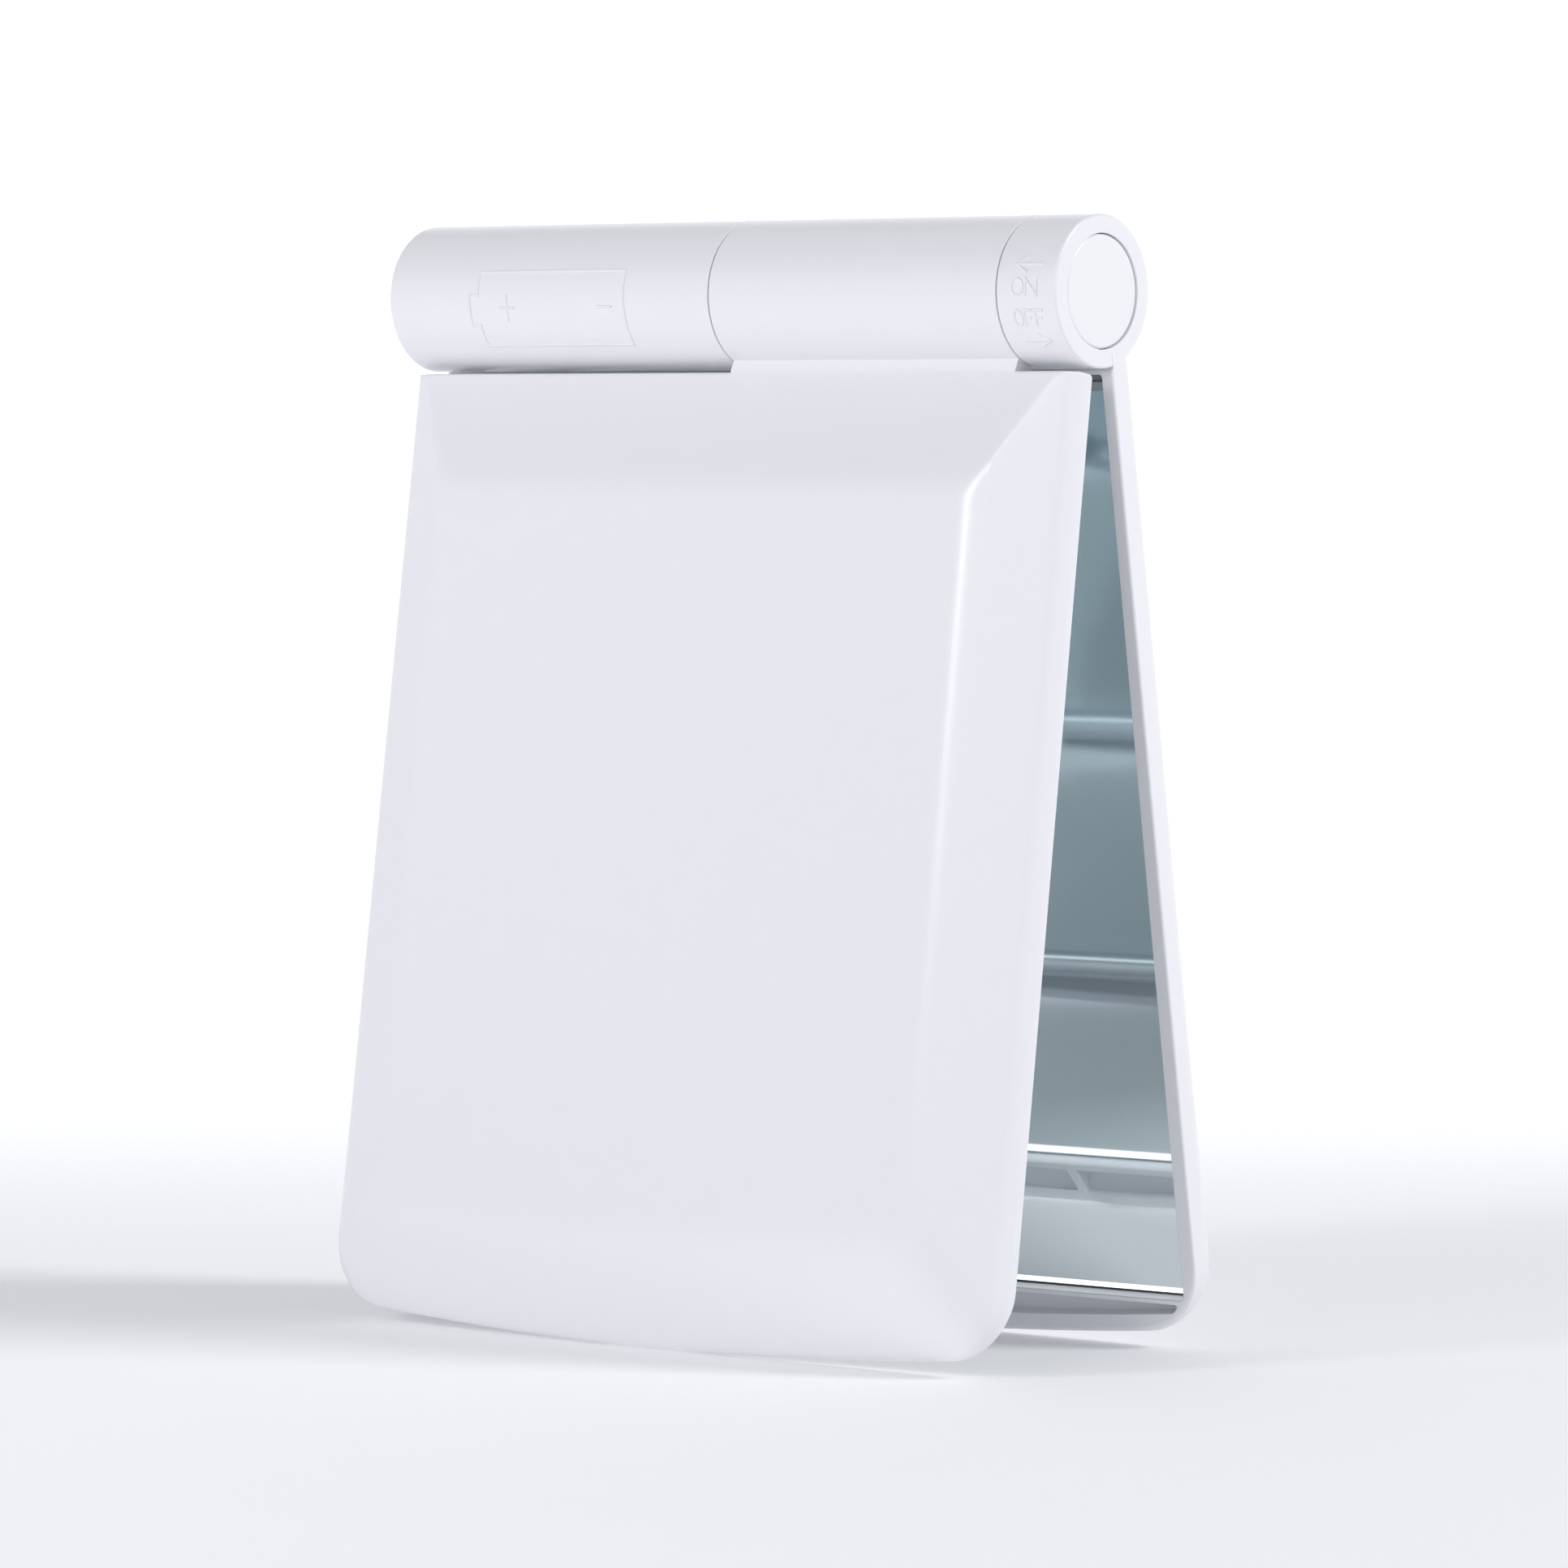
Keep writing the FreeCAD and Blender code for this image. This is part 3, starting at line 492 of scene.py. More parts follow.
def fill(outer: np.ndarray, holes: list[np.ndarray]) -> np.ndarray:
    """Fill a flat loop that may have holes.

    Args:
        outer: corners of the outer loop.
        holes: corners of each hole.

    Returns:
        Triangles as an array of three corners each.
    """
    points: list[Vector] = []
    edges: list[tuple[int, int]] = []
    for loop in (outer, *holes):
        first = len(points)
        points += [Vector(corner) for corner in loop]
        edges += [(first + step, first + (step + 1) % len(loop)) for step in range(len(loop))]
    places, _, faces, *_ = delaunay_2d_cdt(points, edges, [], 0, FILL_TOLERANCE)
    triangles = np.array([[tuple(places[number]) for number in face] for face in faces])
    middles = triangles.mean(axis=1)
    keep = inside(middles, outer)
    for hole in holes:
        keep &= ~inside(middles, hole)
    return triangles[keep]


def shifted(loop: np.ndarray, distance: float) -> np.ndarray:
    """Move a closed loop outwards.

    Args:
        loop: corners of the loop.
        distance: how far, negative for inwards.

    Returns:
        The moved corners.
    """
    ahead = unit(np.roll(loop, -1, axis=0) - loop)
    behind = np.roll(ahead, 1, axis=0)
    normal = unit(np.stack([ahead[:, 1] + behind[:, 1], -ahead[:, 0] - behind[:, 0]], axis=1))
    lean = np.maximum(np.abs(normal[:, 0] * ahead[:, 1] - normal[:, 1] * ahead[:, 0]), LEAST_LEAN)
    area = np.sum(loop[:, 0] * np.roll(loop[:, 1], -1) - np.roll(loop[:, 0], -1) * loop[:, 1])
    return loop + normal * (math.copysign(distance, distance * area) / lean)[:, None]


@dataclass
class Pocket:
    """Recess sunk from the rim of a half, with a floor that may rise towards its lower end."""

    loop: np.ndarray
    depth: float
    soft: float
    rise: float = 0.0

    def floor(self, down: np.ndarray) -> np.ndarray:
        """Depth of the floor at a distance down."""
        start, end = self.loop[:, 1].min(), self.loop[:, 1].max()
        return self.depth - self.rise * (down - start) / (end - start)


@dataclass
class PanelForm:
    """Moulded form of one half."""

    half: Half
    hinge: Hinge
    side_shoulder: float
    side_drop: float
    side_soft: float
    top_shoulder: float
    tabs: tuple[tuple[float, float], ...]
    top_corner: float
    top: float = 8.7
    bottom: float = 112.7
    half_top: float = 46.1
    half_bottom: float = 46.5
    arc_radius: float = 500.0
    corner: float = 7.0
    rim: float = 0.4
    rim_soft: float = 0.3
    foot_soft: float = 0.75
    crown: float = 6.85
    side_bevel: float = 9.5
    top_bevel: float = 12.5
    bottom_bevel: float = 11.0
    bottom_shoulder: float = 3.0
    top_drop: float = 0.5
    top_soft: float = 0.5
    bottom_drop: float = 1.7
    bottom_soft: float = 5.0
    side_blend: float = 0.83
    top_blend: float = 0.45
    corner_blend: float = 2.0
    border: float = 14.0
    border_lines: int = 34
    border_crowding: float = 1.6
    middle_lines: int = 20
    tab_step: float = 0.06
    notch_half: float = 0.0
    notch_run: float = 5.0
    notch_depth: float = 0.9
    notch_start: float = 109.9
    notch_reach: float = 1.4
    notch_lines: int = 12
    wall_share: float = 0.8
    wall_steps: int = 5
    wall_view: float = -2.0
    least_wall: float = 0.05
    pocket_view: float = 3.0

    def width(self, down: np.ndarray) -> np.ndarray:
        """Half width of the outline at a distance down."""
        share = (down - self.top) / (self.bottom - self.top)
        return self.half_top + (self.half_bottom - self.half_top) * share

    def foot(self, x: np.ndarray) -> np.ndarray:
        """Distance down of the bottom edge at a place across."""
        return self.bottom - self.arc_radius + np.sqrt(self.arc_radius**2 - x**2)

    def levels(self) -> np.ndarray:
        """Insets of the border's lines from an edge, close together at the edge."""
        share = np.arange(self.border_lines + 1) / self.border_lines
        return self.border * share**self.border_crowding

    def columns(self) -> tuple[np.ndarray, np.ndarray]:
        """Lay out the lines across the half.

        Returns:
            For each line, the side that it keeps its distance from (0 for neither), and its offset.
        """
        levels = list(self.levels())
        inner = self.half_top - self.border
        middle = list(np.linspace(-inner, inner, self.middle_lines + 1)[1:-1])
        middle += list(self.notch_places())
        left, right = list(levels), list(levels)
        for x in (end + step for tab in self.tabs for end in tab for step in (-self.tab_step, self.tab_step)):
            if abs(x) < inner:
                middle.append(x)
            elif 0 < self.half_top - abs(x) < self.border:
                (right if x > 0 else left).append(self.half_top - abs(x))
        side = [-1.0] * len(left) + [0.0] * len(middle) + [1.0] * len(right)
        offset = sorted(left) + sorted(middle) + [-inset for inset in sorted(right, reverse=True)]
        return np.array(side), np.array(offset)

    def sheet(self) -> tuple[np.ndarray, ...]:
        """Lay the grid over the outline, with the corners rounded.

        Returns:
            Places across, places down, ring insets and the shares of the side, top and bottom edge.
        """
        side, offset = self.columns()
        foot = self.foot(side * self.half_bottom + offset)
        start, end = self.top + self.border, foot - self.border
        shares = np.linspace(0.0, 1.0, self.middle_lines + 1)[1:-1]
        rows = [np.full_like(foot, self.top + level) for level in self.levels()]
        rows += [start + share * (end - start) for share in shares]
        rows += [foot - level for level in self.levels()[::-1]]
        down = np.array(rows)
        return self.round_corners(side * self.width(down) + offset, down)

    def round_corners(self, x: np.ndarray, down: np.ndarray) -> tuple[np.ndarray, ...]:
        """Wrap the square corners of the grid round their arcs.

        Args:
            x: places across.
            down: places down.

        Returns:
            Places across, places down, ring insets and the shares of the side, top and bottom edge.
        """
        sign = np.where(x < 0, -1.0, 1.0)
        from_side = np.maximum(self.width(down) - np.abs(x), 0.0)
        from_top = np.maximum(down - self.top, 0.0)
        from_foot = np.maximum(self.foot(x) - down, 0.0)
        ring = np.minimum(np.minimum(from_side, from_top), from_foot)
        by_side = (from_side <= np.minimum(from_top, from_foot)).astype(float)
        by_top = (1.0 - by_side) * (from_top <= from_foot)
        for radius, from_end, is_top in (
            (self.top_corner, from_top, True),
            (self.corner, from_foot, False),
        ):
            near = (from_side < radius) & (from_end < radius)
            least = np.minimum(from_side, from_end)
            span = np.maximum(radius - least, TINY)
            on_side = from_side <= from_end
            past = np.where(on_side, (radius - from_end) / span, 2.0 - (radius - from_side) / span)
            turn = past / 2.0 * math.pi / 2.0
            new_side = radius - span * np.cos(turn)
            new_end = radius - span * np.sin(turn)
            by_side = np.where(near, np.cos(turn) ** 2, by_side)
            by_top = np.where(near, np.sin(turn) ** 2 if is_top else 0.0, by_top)
            new_down = self.top + new_end if is_top else self.foot(x) - new_end
            down = np.where(near, new_down, down)
            new_x = sign * (self.width(down) - new_side)
            x = np.where(near, new_x, x)
            if not is_top:
                down = np.where(near, self.foot(x) - new_end, down)
        return x, down, ring, by_side, by_top, 1.0 - by_side - by_top

    def bevels(self, x: np.ndarray, down: np.ndarray) -> np.ndarray:
        """Height of the crown and the four bevels, with their ridges rounded.

        Args:
            x: places across.
            down: places down.

        Returns:
            Heights out from the parting plane.
        """
        side_rise = (self.crown - self.side_shoulder) / self.side_bevel
        top_rise = (self.crown - self.top_shoulder) / self.top_bevel
        foot_rise = (self.crown - self.bottom_shoulder) / self.bottom_bevel
        side = self.side_shoulder + side_rise * (self.width(down) - np.abs(x))
        top = self.top_shoulder + top_rise * (down - self.top)
        foot = self.bottom_shoulder + foot_rise * (self.foot(x) - down)
        round_about = soft_min(side, foot, self.corner_blend)
        crown = soft_min(np.full_like(x, self.crown), round_about, self.side_blend)
        return soft_min(crown, top, self.top_blend)

    def on_tab(self, x: np.ndarray) -> np.ndarray:
        """Tell where the top edge carries a tab.

        Args:
            x: places across.

        Returns:
            Shares, 1 on a tab and 0 beside it.
        """
        share = np.zeros_like(x)
        for start, end in self.tabs:
            from_start = np.clip((x - start + self.tab_step) / (2 * self.tab_step), 0.0, 1.0)
            from_end = np.clip((end + self.tab_step - x) / (2 * self.tab_step), 0.0, 1.0)
            share = np.maximum(share, np.minimum(from_start, from_end))
        return share

    def outer(self) -> np.ndarray:
        """Places of the outer face, edges rounded down to the walls.

        Returns:
            Grid of places (x, down, out).
        """
        x, down, ring, by_side, by_top, by_foot = self.sheet()
        top_drop = self.top_drop * (1.0 - self.on_tab(x))
        drop = by_side * self.side_drop + by_top * top_drop + by_foot * self.bottom_drop
        soft = by_side * self.side_soft + by_top * self.top_soft + by_foot * self.bottom_soft
        from_side = self.width(down) - np.abs(x)
        drop = np.maximum(drop * fall(ring / soft), self.side_drop * fall(from_side / self.side_soft))
        out = self.bevels(x, down) - drop
        return np.stack([x, down, np.maximum(out, self.rim + self.least_wall)], axis=-1)

    def notched(self, points: np.ndarray) -> np.ndarray:
        """Sink the thumb notch into the lower wall.

        Args:
            points: places (x, down, out).

        Returns:
            The places, lifted by the notch near the rim.
        """
        x, down, out = points[..., 0], points[..., 1], points[..., 2]
        room = np.clip(1.0 - (out - self.rim) / self.notch_reach, 0.0, 1.0)
        lift = np.where(down > self.notch_start, self.notch(x) * room, 0.0)
        return np.stack([x, down, out + lift], axis=-1)

    def notch(self, x: np.ndarray) -> np.ndarray:
        """Depth of the thumb notch, with a soft run at each end.

        Args:
            x: places across.

        Returns:
            Depths, 0 beside the notch.
        """
        if not self.notch_half:
            return np.zeros_like(x)
        share = np.clip((self.notch_half - np.abs(x)) / self.notch_run, 0.0, 1.0)
        return self.notch_depth * share**2 * (3.0 - 2.0 * share)

    def notch_places(self) -> np.ndarray:
        """Find where the notch needs lines.

        Returns:
            Places across, none on a half with no notch.
        """
        if not self.notch_half:
            return np.zeros(0)
        run = np.linspace(self.notch_half - self.notch_run, self.notch_half, self.notch_lines)
        return np.concatenate([-run[::-1], run])

    def put(self, points: np.ndarray) -> np.ndarray:
        """Places on this half, with its notch, in the frame."""
        return self.hinge.on_half(self.half, self.notched(points))

    def facing(self, x: float, down: float, out: float) -> np.ndarray:
        """Direction in the frame of a direction on this half."""
        tip = self.hinge.on_half(self.half, np.array([x, down, out]))
        return tip - self.hinge.on_half(self.half, np.zeros(3))

    def add(self, skin: Skin, pockets: list[Pocket]) -> None:
        """Add the whole moulding: outer face, walls, rim and pockets.

        Args:
            skin: where the faces go.
            pockets: recesses in the rim.
        """
        outer = self.outer()
        skin.grid(self.put(outer), self.facing(0.0, 0.0, 1.0))
        edge = np.concatenate([outer[0, :-1], outer[:-1, -1], outer[-1, :0:-1], outer[:0:-1, 0]])
        rim = self.add_wall(skin, edge)
        for triangle in fill(rim, [shifted(pocket.loop, pocket.soft) for pocket in pockets]):
            self.add_flat(skin, triangle, np.full(3, self.rim))
        for pocket in pockets:
            self.add_pocket(skin, pocket)

    def add_wall(self, skin: Skin, edge: np.ndarray) -> np.ndarray:
        """Add the walls under the outer face, rounded in to the rim.

        Args:
            skin: where the faces go.
            edge: closed loop of places at the foot of the outer face.

        Returns:
            The loop in the plane where the rim begins.
        """
        loop = edge[:, :2]
        low = np.clip(1.0 - (self.foot(edge[:, 0]) - edge[:, 1]) / self.corner, 0.0, 1.0)
        soft = self.rim_soft + (self.foot_soft - self.rim_soft) * low
        room = np.minimum(soft, (edge[:, 2] - self.rim) * self.wall_share)
        rows = [edge]
        moved = shifted(loop, -1.0) - loop
        for turn in arc(0.0, 90.0, self.wall_steps):
            inward = moved * (room * (1.0 - math.cos(turn)))[:, None]
            rows.append(np.column_stack([loop + inward, self.rim + room * (1.0 - math.sin(turn))]))
        middle = np.array([0.0, (self.top + self.bottom) / 2.0])
        away = np.array([self.facing(*spot, self.wall_view) for spot in loop - middle])
        skin.grid(self.put(np.array(rows)), np.repeat(away[None], len(rows), axis=0), closed=True)
        return rows[-1][:, :2]

    def add_flat(self, skin: Skin, triangle: np.ndarray, out: np.ndarray) -> None:
        """Add one flat triangle that looks to the parting plane.

        Args:
            skin: where the faces go.
            triangle: corners in the plane.
            out: how far out each corner lies.
        """
        corners = self.put(np.column_stack([triangle, out]))
        normal = np.cross(corners[1] - corners[0], corners[2] - corners[0])
        length = np.linalg.norm(normal)
        if length > 0:
            towards = normal @ self.facing(0.0, 0.0, -1.0)
            skin.flat(corners, normal * math.copysign(1.0 / length, towards))

    def add_pocket(self, skin: Skin, pocket: Pocket) -> None:
        """Add the walls and the floor of a pocket.

        Args:
            skin: where the faces go.
            pocket: the recess.
        """
        rows = []
        for turn in arc(0.0, 90.0, FINE_STEPS):
            loop = shifted(pocket.loop, pocket.soft * (1.0 - math.sin(turn)))
            out = self.rim + pocket.soft * (1.0 - math.cos(turn))
            rows.append(np.column_stack([loop, np.full(len(loop), out)]))
        rows.append(np.column_stack([pocket.loop, pocket.floor(pocket.loop[:, 1])]))
        points = self.put(np.array(rows))
        centre = self.put(np.array([*pocket.loop.mean(axis=0), self.rim - self.pocket_view]))
        skin.grid(points, centre - points, closed=True)
        for triangle in fill(pocket.loop, []):
            self.add_flat(skin, triangle, pocket.floor(triangle[:, 1]))


def box_loop(low: tuple[float, float], high: tuple[float, float], rounds: tuple[float, ...]) -> np.ndarray:
    """Rectangle with rounded corners.

    Args:
        low: least place across and down.
        high: greatest place across and down.
        rounds: radii at top left, top right, bottom right and bottom left.

    Returns:
        Corners of the loop.
    """
    (left, top), (right, bottom) = low, high
    out, back = arc(0.0, 90.0, ROUND_STEPS), arc(90.0, 0.0, ROUND_STEPS)
    top_left, top_right, bottom_right, bottom_left = rounds
    points = rounded((left, top), (top_left, top_left), out)
    points += rounded((right, top), (-top_right, top_right), back)
    points += rounded((right, bottom), (-bottom_right, -bottom_right), out)
    points += rounded((left, bottom), (bottom_left, -bottom_left), back)
    return np.array(points)


@dataclass
class Knuckle:
    """One length of the barrel."""

    start: float
    end: float
    start_soft: float
    end_soft: float
    bore: float = 6.0
    radius: float = 8.0
    sides: int = 160

    def add(self, skin: Skin, hinge: Hinge) -> None:
        """Add the round outside, the two ends and the bore.

        Args:
            skin: where the faces go.
            hinge: where the barrel is.
        """
        out, back = arc(0.0, 90.0, ROUND_STEPS), arc(90.0, 0.0, ROUND_STEPS)
        first = rounded((self.start, self.radius), (self.start_soft, -self.start_soft), out)
        last = rounded((self.end, self.radius), (-self.end_soft, -self.end_soft), back)
        lathe(skin, hinge, first + last, self.sides)
        lathe(skin, hinge, [(self.start, self.bore), first[0]], self.sides, Facing.LEFT)
        lathe(skin, hinge, [last[-1], (self.end, self.bore)], self.sides, Facing.RIGHT)
        lathe(skin, hinge, [(self.end, self.bore), (self.start, self.bore)], self.sides, Facing.IN)


def lathe(
    skin: Skin,
    hinge: Hinge,
    profile: list[tuple[float, float]],
    sides: int,
    facing: Facing = Facing.OUT,
) -> None:
    """Turn a profile about the barrel axis.

    Args:
        skin: where the faces go.
        hinge: where the barrel is.
        profile: places along the barrel and radii.
        sides: number of steps round.
        facing: which way the surface looks.
    """
    turns = np.linspace(0.0, 2.0 * math.pi, sides, endpoint=False)
    rows = [np.column_stack([np.full(sides, x), np.full(sides, radius), turns]) for x, radius in profile]
    points = hinge.on_barrel(np.array(rows))
    axis = hinge.on_barrel(np.array([0.0, 0.0, 0.0]))
    outward = (points - axis) * np.array([0.0, 1.0, 1.0])
    if facing is Facing.IN:
        outward = -outward
    elif facing is not Facing.OUT:
        along = 1.0 if facing is Facing.RIGHT else -1.0
        outward = np.broadcast_to(np.array([along, 0.0, 0.0]), points.shape)
    skin.grid(points, outward, closed=True)


@dataclass
class HalfShell:
    """One half: its moulded panel, its knuckles and the tabs between them."""

    name: str
    node: str
    body: str
    form: PanelForm
    knuckles: tuple[Knuckle, ...]
    pockets: list[Pocket]
    tab_root: float = 6.6
    tab_sink: float = 0.4
    tab_inner: float = 0.6
    tab_dip: float = 0.15

    def build(self) -> bpy.types.Object:
        """Make the half and put it in the frame.

        Returns:
            The new piece.
        """
        skin = Skin()
        self.form.add(skin, self.pockets)
        for knuckle in self.knuckles:
            knuckle.add(skin, self.form.hinge)
        for start, end in self.form.tabs:
            self.add_tab(skin, start, end)
        piece = skin.build(self.name, FINISHES[Slot.WHITE_SHELL])
        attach(piece, self.body)
        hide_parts(self.node)
        return piece

    def add_tab(self, skin: Skin, start: float, end: float) -> None:
        """Add one tab that carries the top bevel on into the barrel.

        Args:
            skin: where the faces go.
            start: where it starts along the barrel.
            end: where it ends.
        """
        form = self.form
        rise = (form.crown - form.top_shoulder) / form.top_bevel
        edge = form.outer()[0]
        edge = edge[(edge[:, 0] > start) & (edge[:, 0] < end)]
        rows = []
        for down, dip in ((self.tab_root, 0.0), (form.top, 0.0), (form.top + self.tab_sink, self.tab_dip)):
            out = edge[:, 2] + rise * (down - form.top) - dip
            rows.append(np.column_stack([edge[:, 0], np.full(len(edge), down), out]))
        outer = np.array(rows)
        inner = outer.copy()
        inner[..., 2] = self.tab_inner
        for sheet, away in (
            (outer[:2], (0.0, 0.0, 1.0)),
            (outer[1:], (0.0, 0.0, 1.0)),
            (inner, (0.0, 0.0, -1.0)),
            (np.array([outer[0], inner[0]]), (0.0, -1.0, 0.0)),
            (np.array([outer[-1], inner[-1]]), (0.0, 1.0, 0.0)),
        ):
            skin.grid(form.put(sheet), form.facing(*away))
        for column, along in ((0, -1.0), (-1, 1.0)):
            end_face = np.concatenate([outer[:, column], inner[::-1, column]])
            skin.flat(form.put(end_face), np.array([along, 0.0, 0.0]))


def gutter_loop(
    form: PanelForm, left: float, right: float, top: float, wall: float, soft: float, low_soft: float
) -> np.ndarray:
    """Outline of a gutter: straight above, along the bottom edge below, with round ends.

    Args:
        form: the half that it is in.
        left: least place across.
        right: greatest place across.
        top: upper edge, down from the axis.
        wall: wall left below it.
        soft: radius of the upper corners.
        low_soft: radius of the lower corners.

    Returns:
        Corners of the loop.
    """
    start, end = left + low_soft, right - low_soft
    x = np.union1d(np.linspace(start, end, GUTTER_LINES), form.notch_places())
    x = x[(x >= start) & (x <= end)]
    low = np.column_stack([x, form.foot(x) - wall])
    points = rounded((left, top), (soft, soft), arc(0.0, 90.0, FINE_STEPS))
    points += rounded((right, top), (-soft, soft), arc(90.0, 0.0, FINE_STEPS))
    points += rounded((right, low[-1, 1]), (-low_soft, -low_soft), arc(0.0, 90.0, ROUND_STEPS))
    points += [tuple(spot) for spot in low[-2:0:-1]]
    points += rounded((left, low[0, 1]), (low_soft, -low_soft), arc(90.0, 0.0, ROUND_STEPS))
    return np.array(points)


@dataclass(frozen=True)
class Tray:
    """Mirror seat and gutters in the inner side of a half."""

    seat_half: float
    seat_top: float
    gutters: tuple[tuple[float, float], ...]
    gutter_top: float
    gutter_wall: float
    gutter_rounds: tuple[float, float]
    gutter_depth: float
    gutter_soft: float
    gutter_rise: float = 0.0
    seat_bottom: float = 107.4
    seat_rounds: tuple[float, float, float, float] = (0.4, 0.4, 0.7, 0.7)
    seat_depth: float = 3.65
    seat_soft: float = 0.12

    def seat(self) -> Pocket:
        """Recess that takes the mirror."""
        low, high = (-self.seat_half, self.seat_top), (self.seat_half, self.seat_bottom)
        return Pocket(box_loop(low, high, self.seat_rounds), self.seat_depth, self.seat_soft)

    def gutter_pockets(self, form: PanelForm) -> list[Pocket]:
        """Lay out the recesses below the mirror.

        Args:
            form: the half that they are in.

        Returns:
            The gutters from left to right.
        """
        pockets = []
        for left, right in self.gutters:
            loop = gutter_loop(form, left, right, self.gutter_top, self.gutter_wall, *self.gutter_rounds)
            pockets.append(Pocket(loop, self.gutter_depth, self.gutter_soft, rise=self.gutter_rise))
        return pockets


@dataclass(frozen=True)
class LightSlots:
    """Slots beside the front mirror, in which the light strips lie."""

    inner: float = 41.55
    outer: float = 44.75
    top: float = 13.95
    bottom: float = 105.8
    corner: float = 0.3
    depth: float = 2.45
    soft: float = 0.1

    def pockets(self) -> list[Pocket]:
        """Lay out both slots.

        Returns:
            The left slot and the right slot.
        """
        pockets = []
        for low, high in ((-self.outer, -self.inner), (self.inner, self.outer)):
            loop = box_loop((low, self.top), (high, self.bottom), (self.corner,) * 4)
            pockets.append(Pocket(loop, self.depth, self.soft))
        return pockets


def back_half(hinge: Hinge) -> HalfShell:
    """Lay out the back half with the left and right knuckles.

    Args:
        hinge: where the halves hang.

    Returns:
        The back half.
    """
    form = PanelForm(
        Half.BACK, hinge, side_shoulder=3.9, side_drop=1.475, side_soft=1.41, top_shoulder=4.5,
        tabs=((-46.2, -0.6), (38.45, 46.2)), top_corner=0.05, top=8.2,
    )
    tray = Tray(
        seat_half=44.6, seat_top=8.75, gutters=((-43.7, 43.7),), gutter_top=107.9, gutter_wall=2.0,
        gutter_rounds=(0.35, 1.2), gutter_depth=2.6, gutter_soft=0.1,
    )
    left = Knuckle(start=-46.05, end=-0.53, start_soft=0.3, end_soft=0.08)
    right = Knuckle(start=38.38, end=46.05, start_soft=0.08, end_soft=0.3, bore=6.03)
    pockets = [tray.seat(), *tray.gutter_pockets(form)]
    return HalfShell("back_half", "back_shell", "base", form, (left, right), pockets)


def front_half(hinge: Hinge) -> HalfShell:
    """Lay out the front half with the middle knuckle, the light strips and the thumb notch.

    Args:
        hinge: where the halves hang.

    Returns:
        The front half.
    """
    form = PanelForm(
        Half.FRONT, hinge, side_shoulder=2.4, side_drop=1.66, side_soft=1.5, top_shoulder=3.3,
        tabs=((-0.3, 38.15),), top_corner=0.5, notch_half=9.0,
    )
    tray = Tray(
        seat_half=41.0, seat_top=12.3, gutters=((-39.0, 2.9), (4.1, 39.0)), gutter_top=108.1, gutter_wall=1.4,
        gutter_rounds=(0.2, 0.3), gutter_depth=2.9, gutter_soft=0.08, gutter_rise=1.1,
    )
    middle = Knuckle(start=-0.37, end=38.22, start_soft=0.08, end_soft=0.08, bore=6.05)
    pockets = [tray.seat(), *LightSlots().pockets(), *tray.gutter_pockets(form)]
    return HalfShell("front_half", "front_shell", "cover", form, (middle,), pockets)


@dataclass
class MirrorPlate:
    """Silvered glass with a ground strip along its lower edge."""

    name: str
    node: str
    body: str
    half: Half
    hinge: Hinge
    half_width: float
    top: float
    bottom: float = 107.25
    face: float = 2.25
    glass: float = 1.1
    strip: float = 0.75
    strip_drop: float = 0.3
    corner: float = 0.6
    edge: float = 0.12
    edge_steps: int = 3

    def build(self) -> bpy.types.Object:
        """Make the plate and put it in the frame.

        Returns:
            The new piece.
        """
        skin = Skin()
        half = self.half_width
        loop = box_loop((-half, self.top), (half, self.bottom), (self.corner,) * 4)
        split = self.bottom - self.strip
        inner = shifted(loop, -self.edge)
        mirror = np.array([(x, min(down, split)) for x, down in inner])
        normal = self.normal(-1.0)
        for triangle in fill(mirror, []):
            skin.flat(self.put(triangle, self.face), normal, GlassPart.SILVERED.value)
        self.add_strip(skin, inner, split)
        rows = []
        for turn in arc(0.0, 90.0, self.edge_steps):
            step = shifted(loop, -self.edge * (1.0 - math.sin(turn)))
            depth = self.face + self.edge * (1.0 - math.cos(turn))
            rows.append(self.put(step, depth + self.drop(step, split)))
        rows.append(self.put(loop, self.face + self.glass))
        points = np.array(rows)
        centre = self.put(np.array([[0.0, (self.top + self.bottom) / 2.0]]), self.face)[0]
        skin.grid(points, points - centre, closed=True, finish=GlassPart.SIDE.value)
        for triangle in fill(loop, []):
            skin.flat(self.put(triangle, self.face + self.glass), -normal, GlassPart.SIDE.value)
        piece = skin.build(self.name, FINISHES[Slot.MIRROR_GLASS], GLOWING_GROUND_EDGE, GLASS_SIDE)
        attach(piece, self.body)
        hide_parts(self.node)
        return piece

    def drop(self, loop: np.ndarray, split: float) -> np.ndarray:
        """How far the ground strip falls away at each place of a loop."""
        return np.clip((loop[:, 1] - split) / self.strip, 0.0, 1.0) * self.strip_drop

    def put(self, loop: np.ndarray, out: float | np.ndarray) -> np.ndarray:
        """Places of a loop in the frame, at a depth."""
        return self.hinge.on_half(self.half, np.column_stack([loop, np.broadcast_to(out, len(loop))]))

    def normal(self, out: float) -> np.ndarray:
        """Direction in the frame that points out from the parting plane, or to it."""
        origin = self.hinge.on_half(self.half, np.zeros(3))
        return self.hinge.on_half(self.half, np.array([0.0, 0.0, out])) - origin

    def add_strip(self, skin: Skin, loop: np.ndarray, split: float) -> None:
        """Add the ground strip below the silvered face.

        Args:
            skin: where the faces go.
            loop: outline of the front face.
            split: where the strip starts.
        """
        low = loop[loop[:, 1] > split]
        order = low[np.argsort(low[:, 0])]
        upper = np.column_stack([order[:, 0], np.full(len(order), split)])
        sheet = np.array([self.put(upper, self.face), self.put(order, self.face + self.drop(order, split))])
        # The strip takes the glowing finish, so its brightness is a painted glint.
        skin.grid(sheet, self.normal(-1.0), finish=GlassPart.GROUND.value)


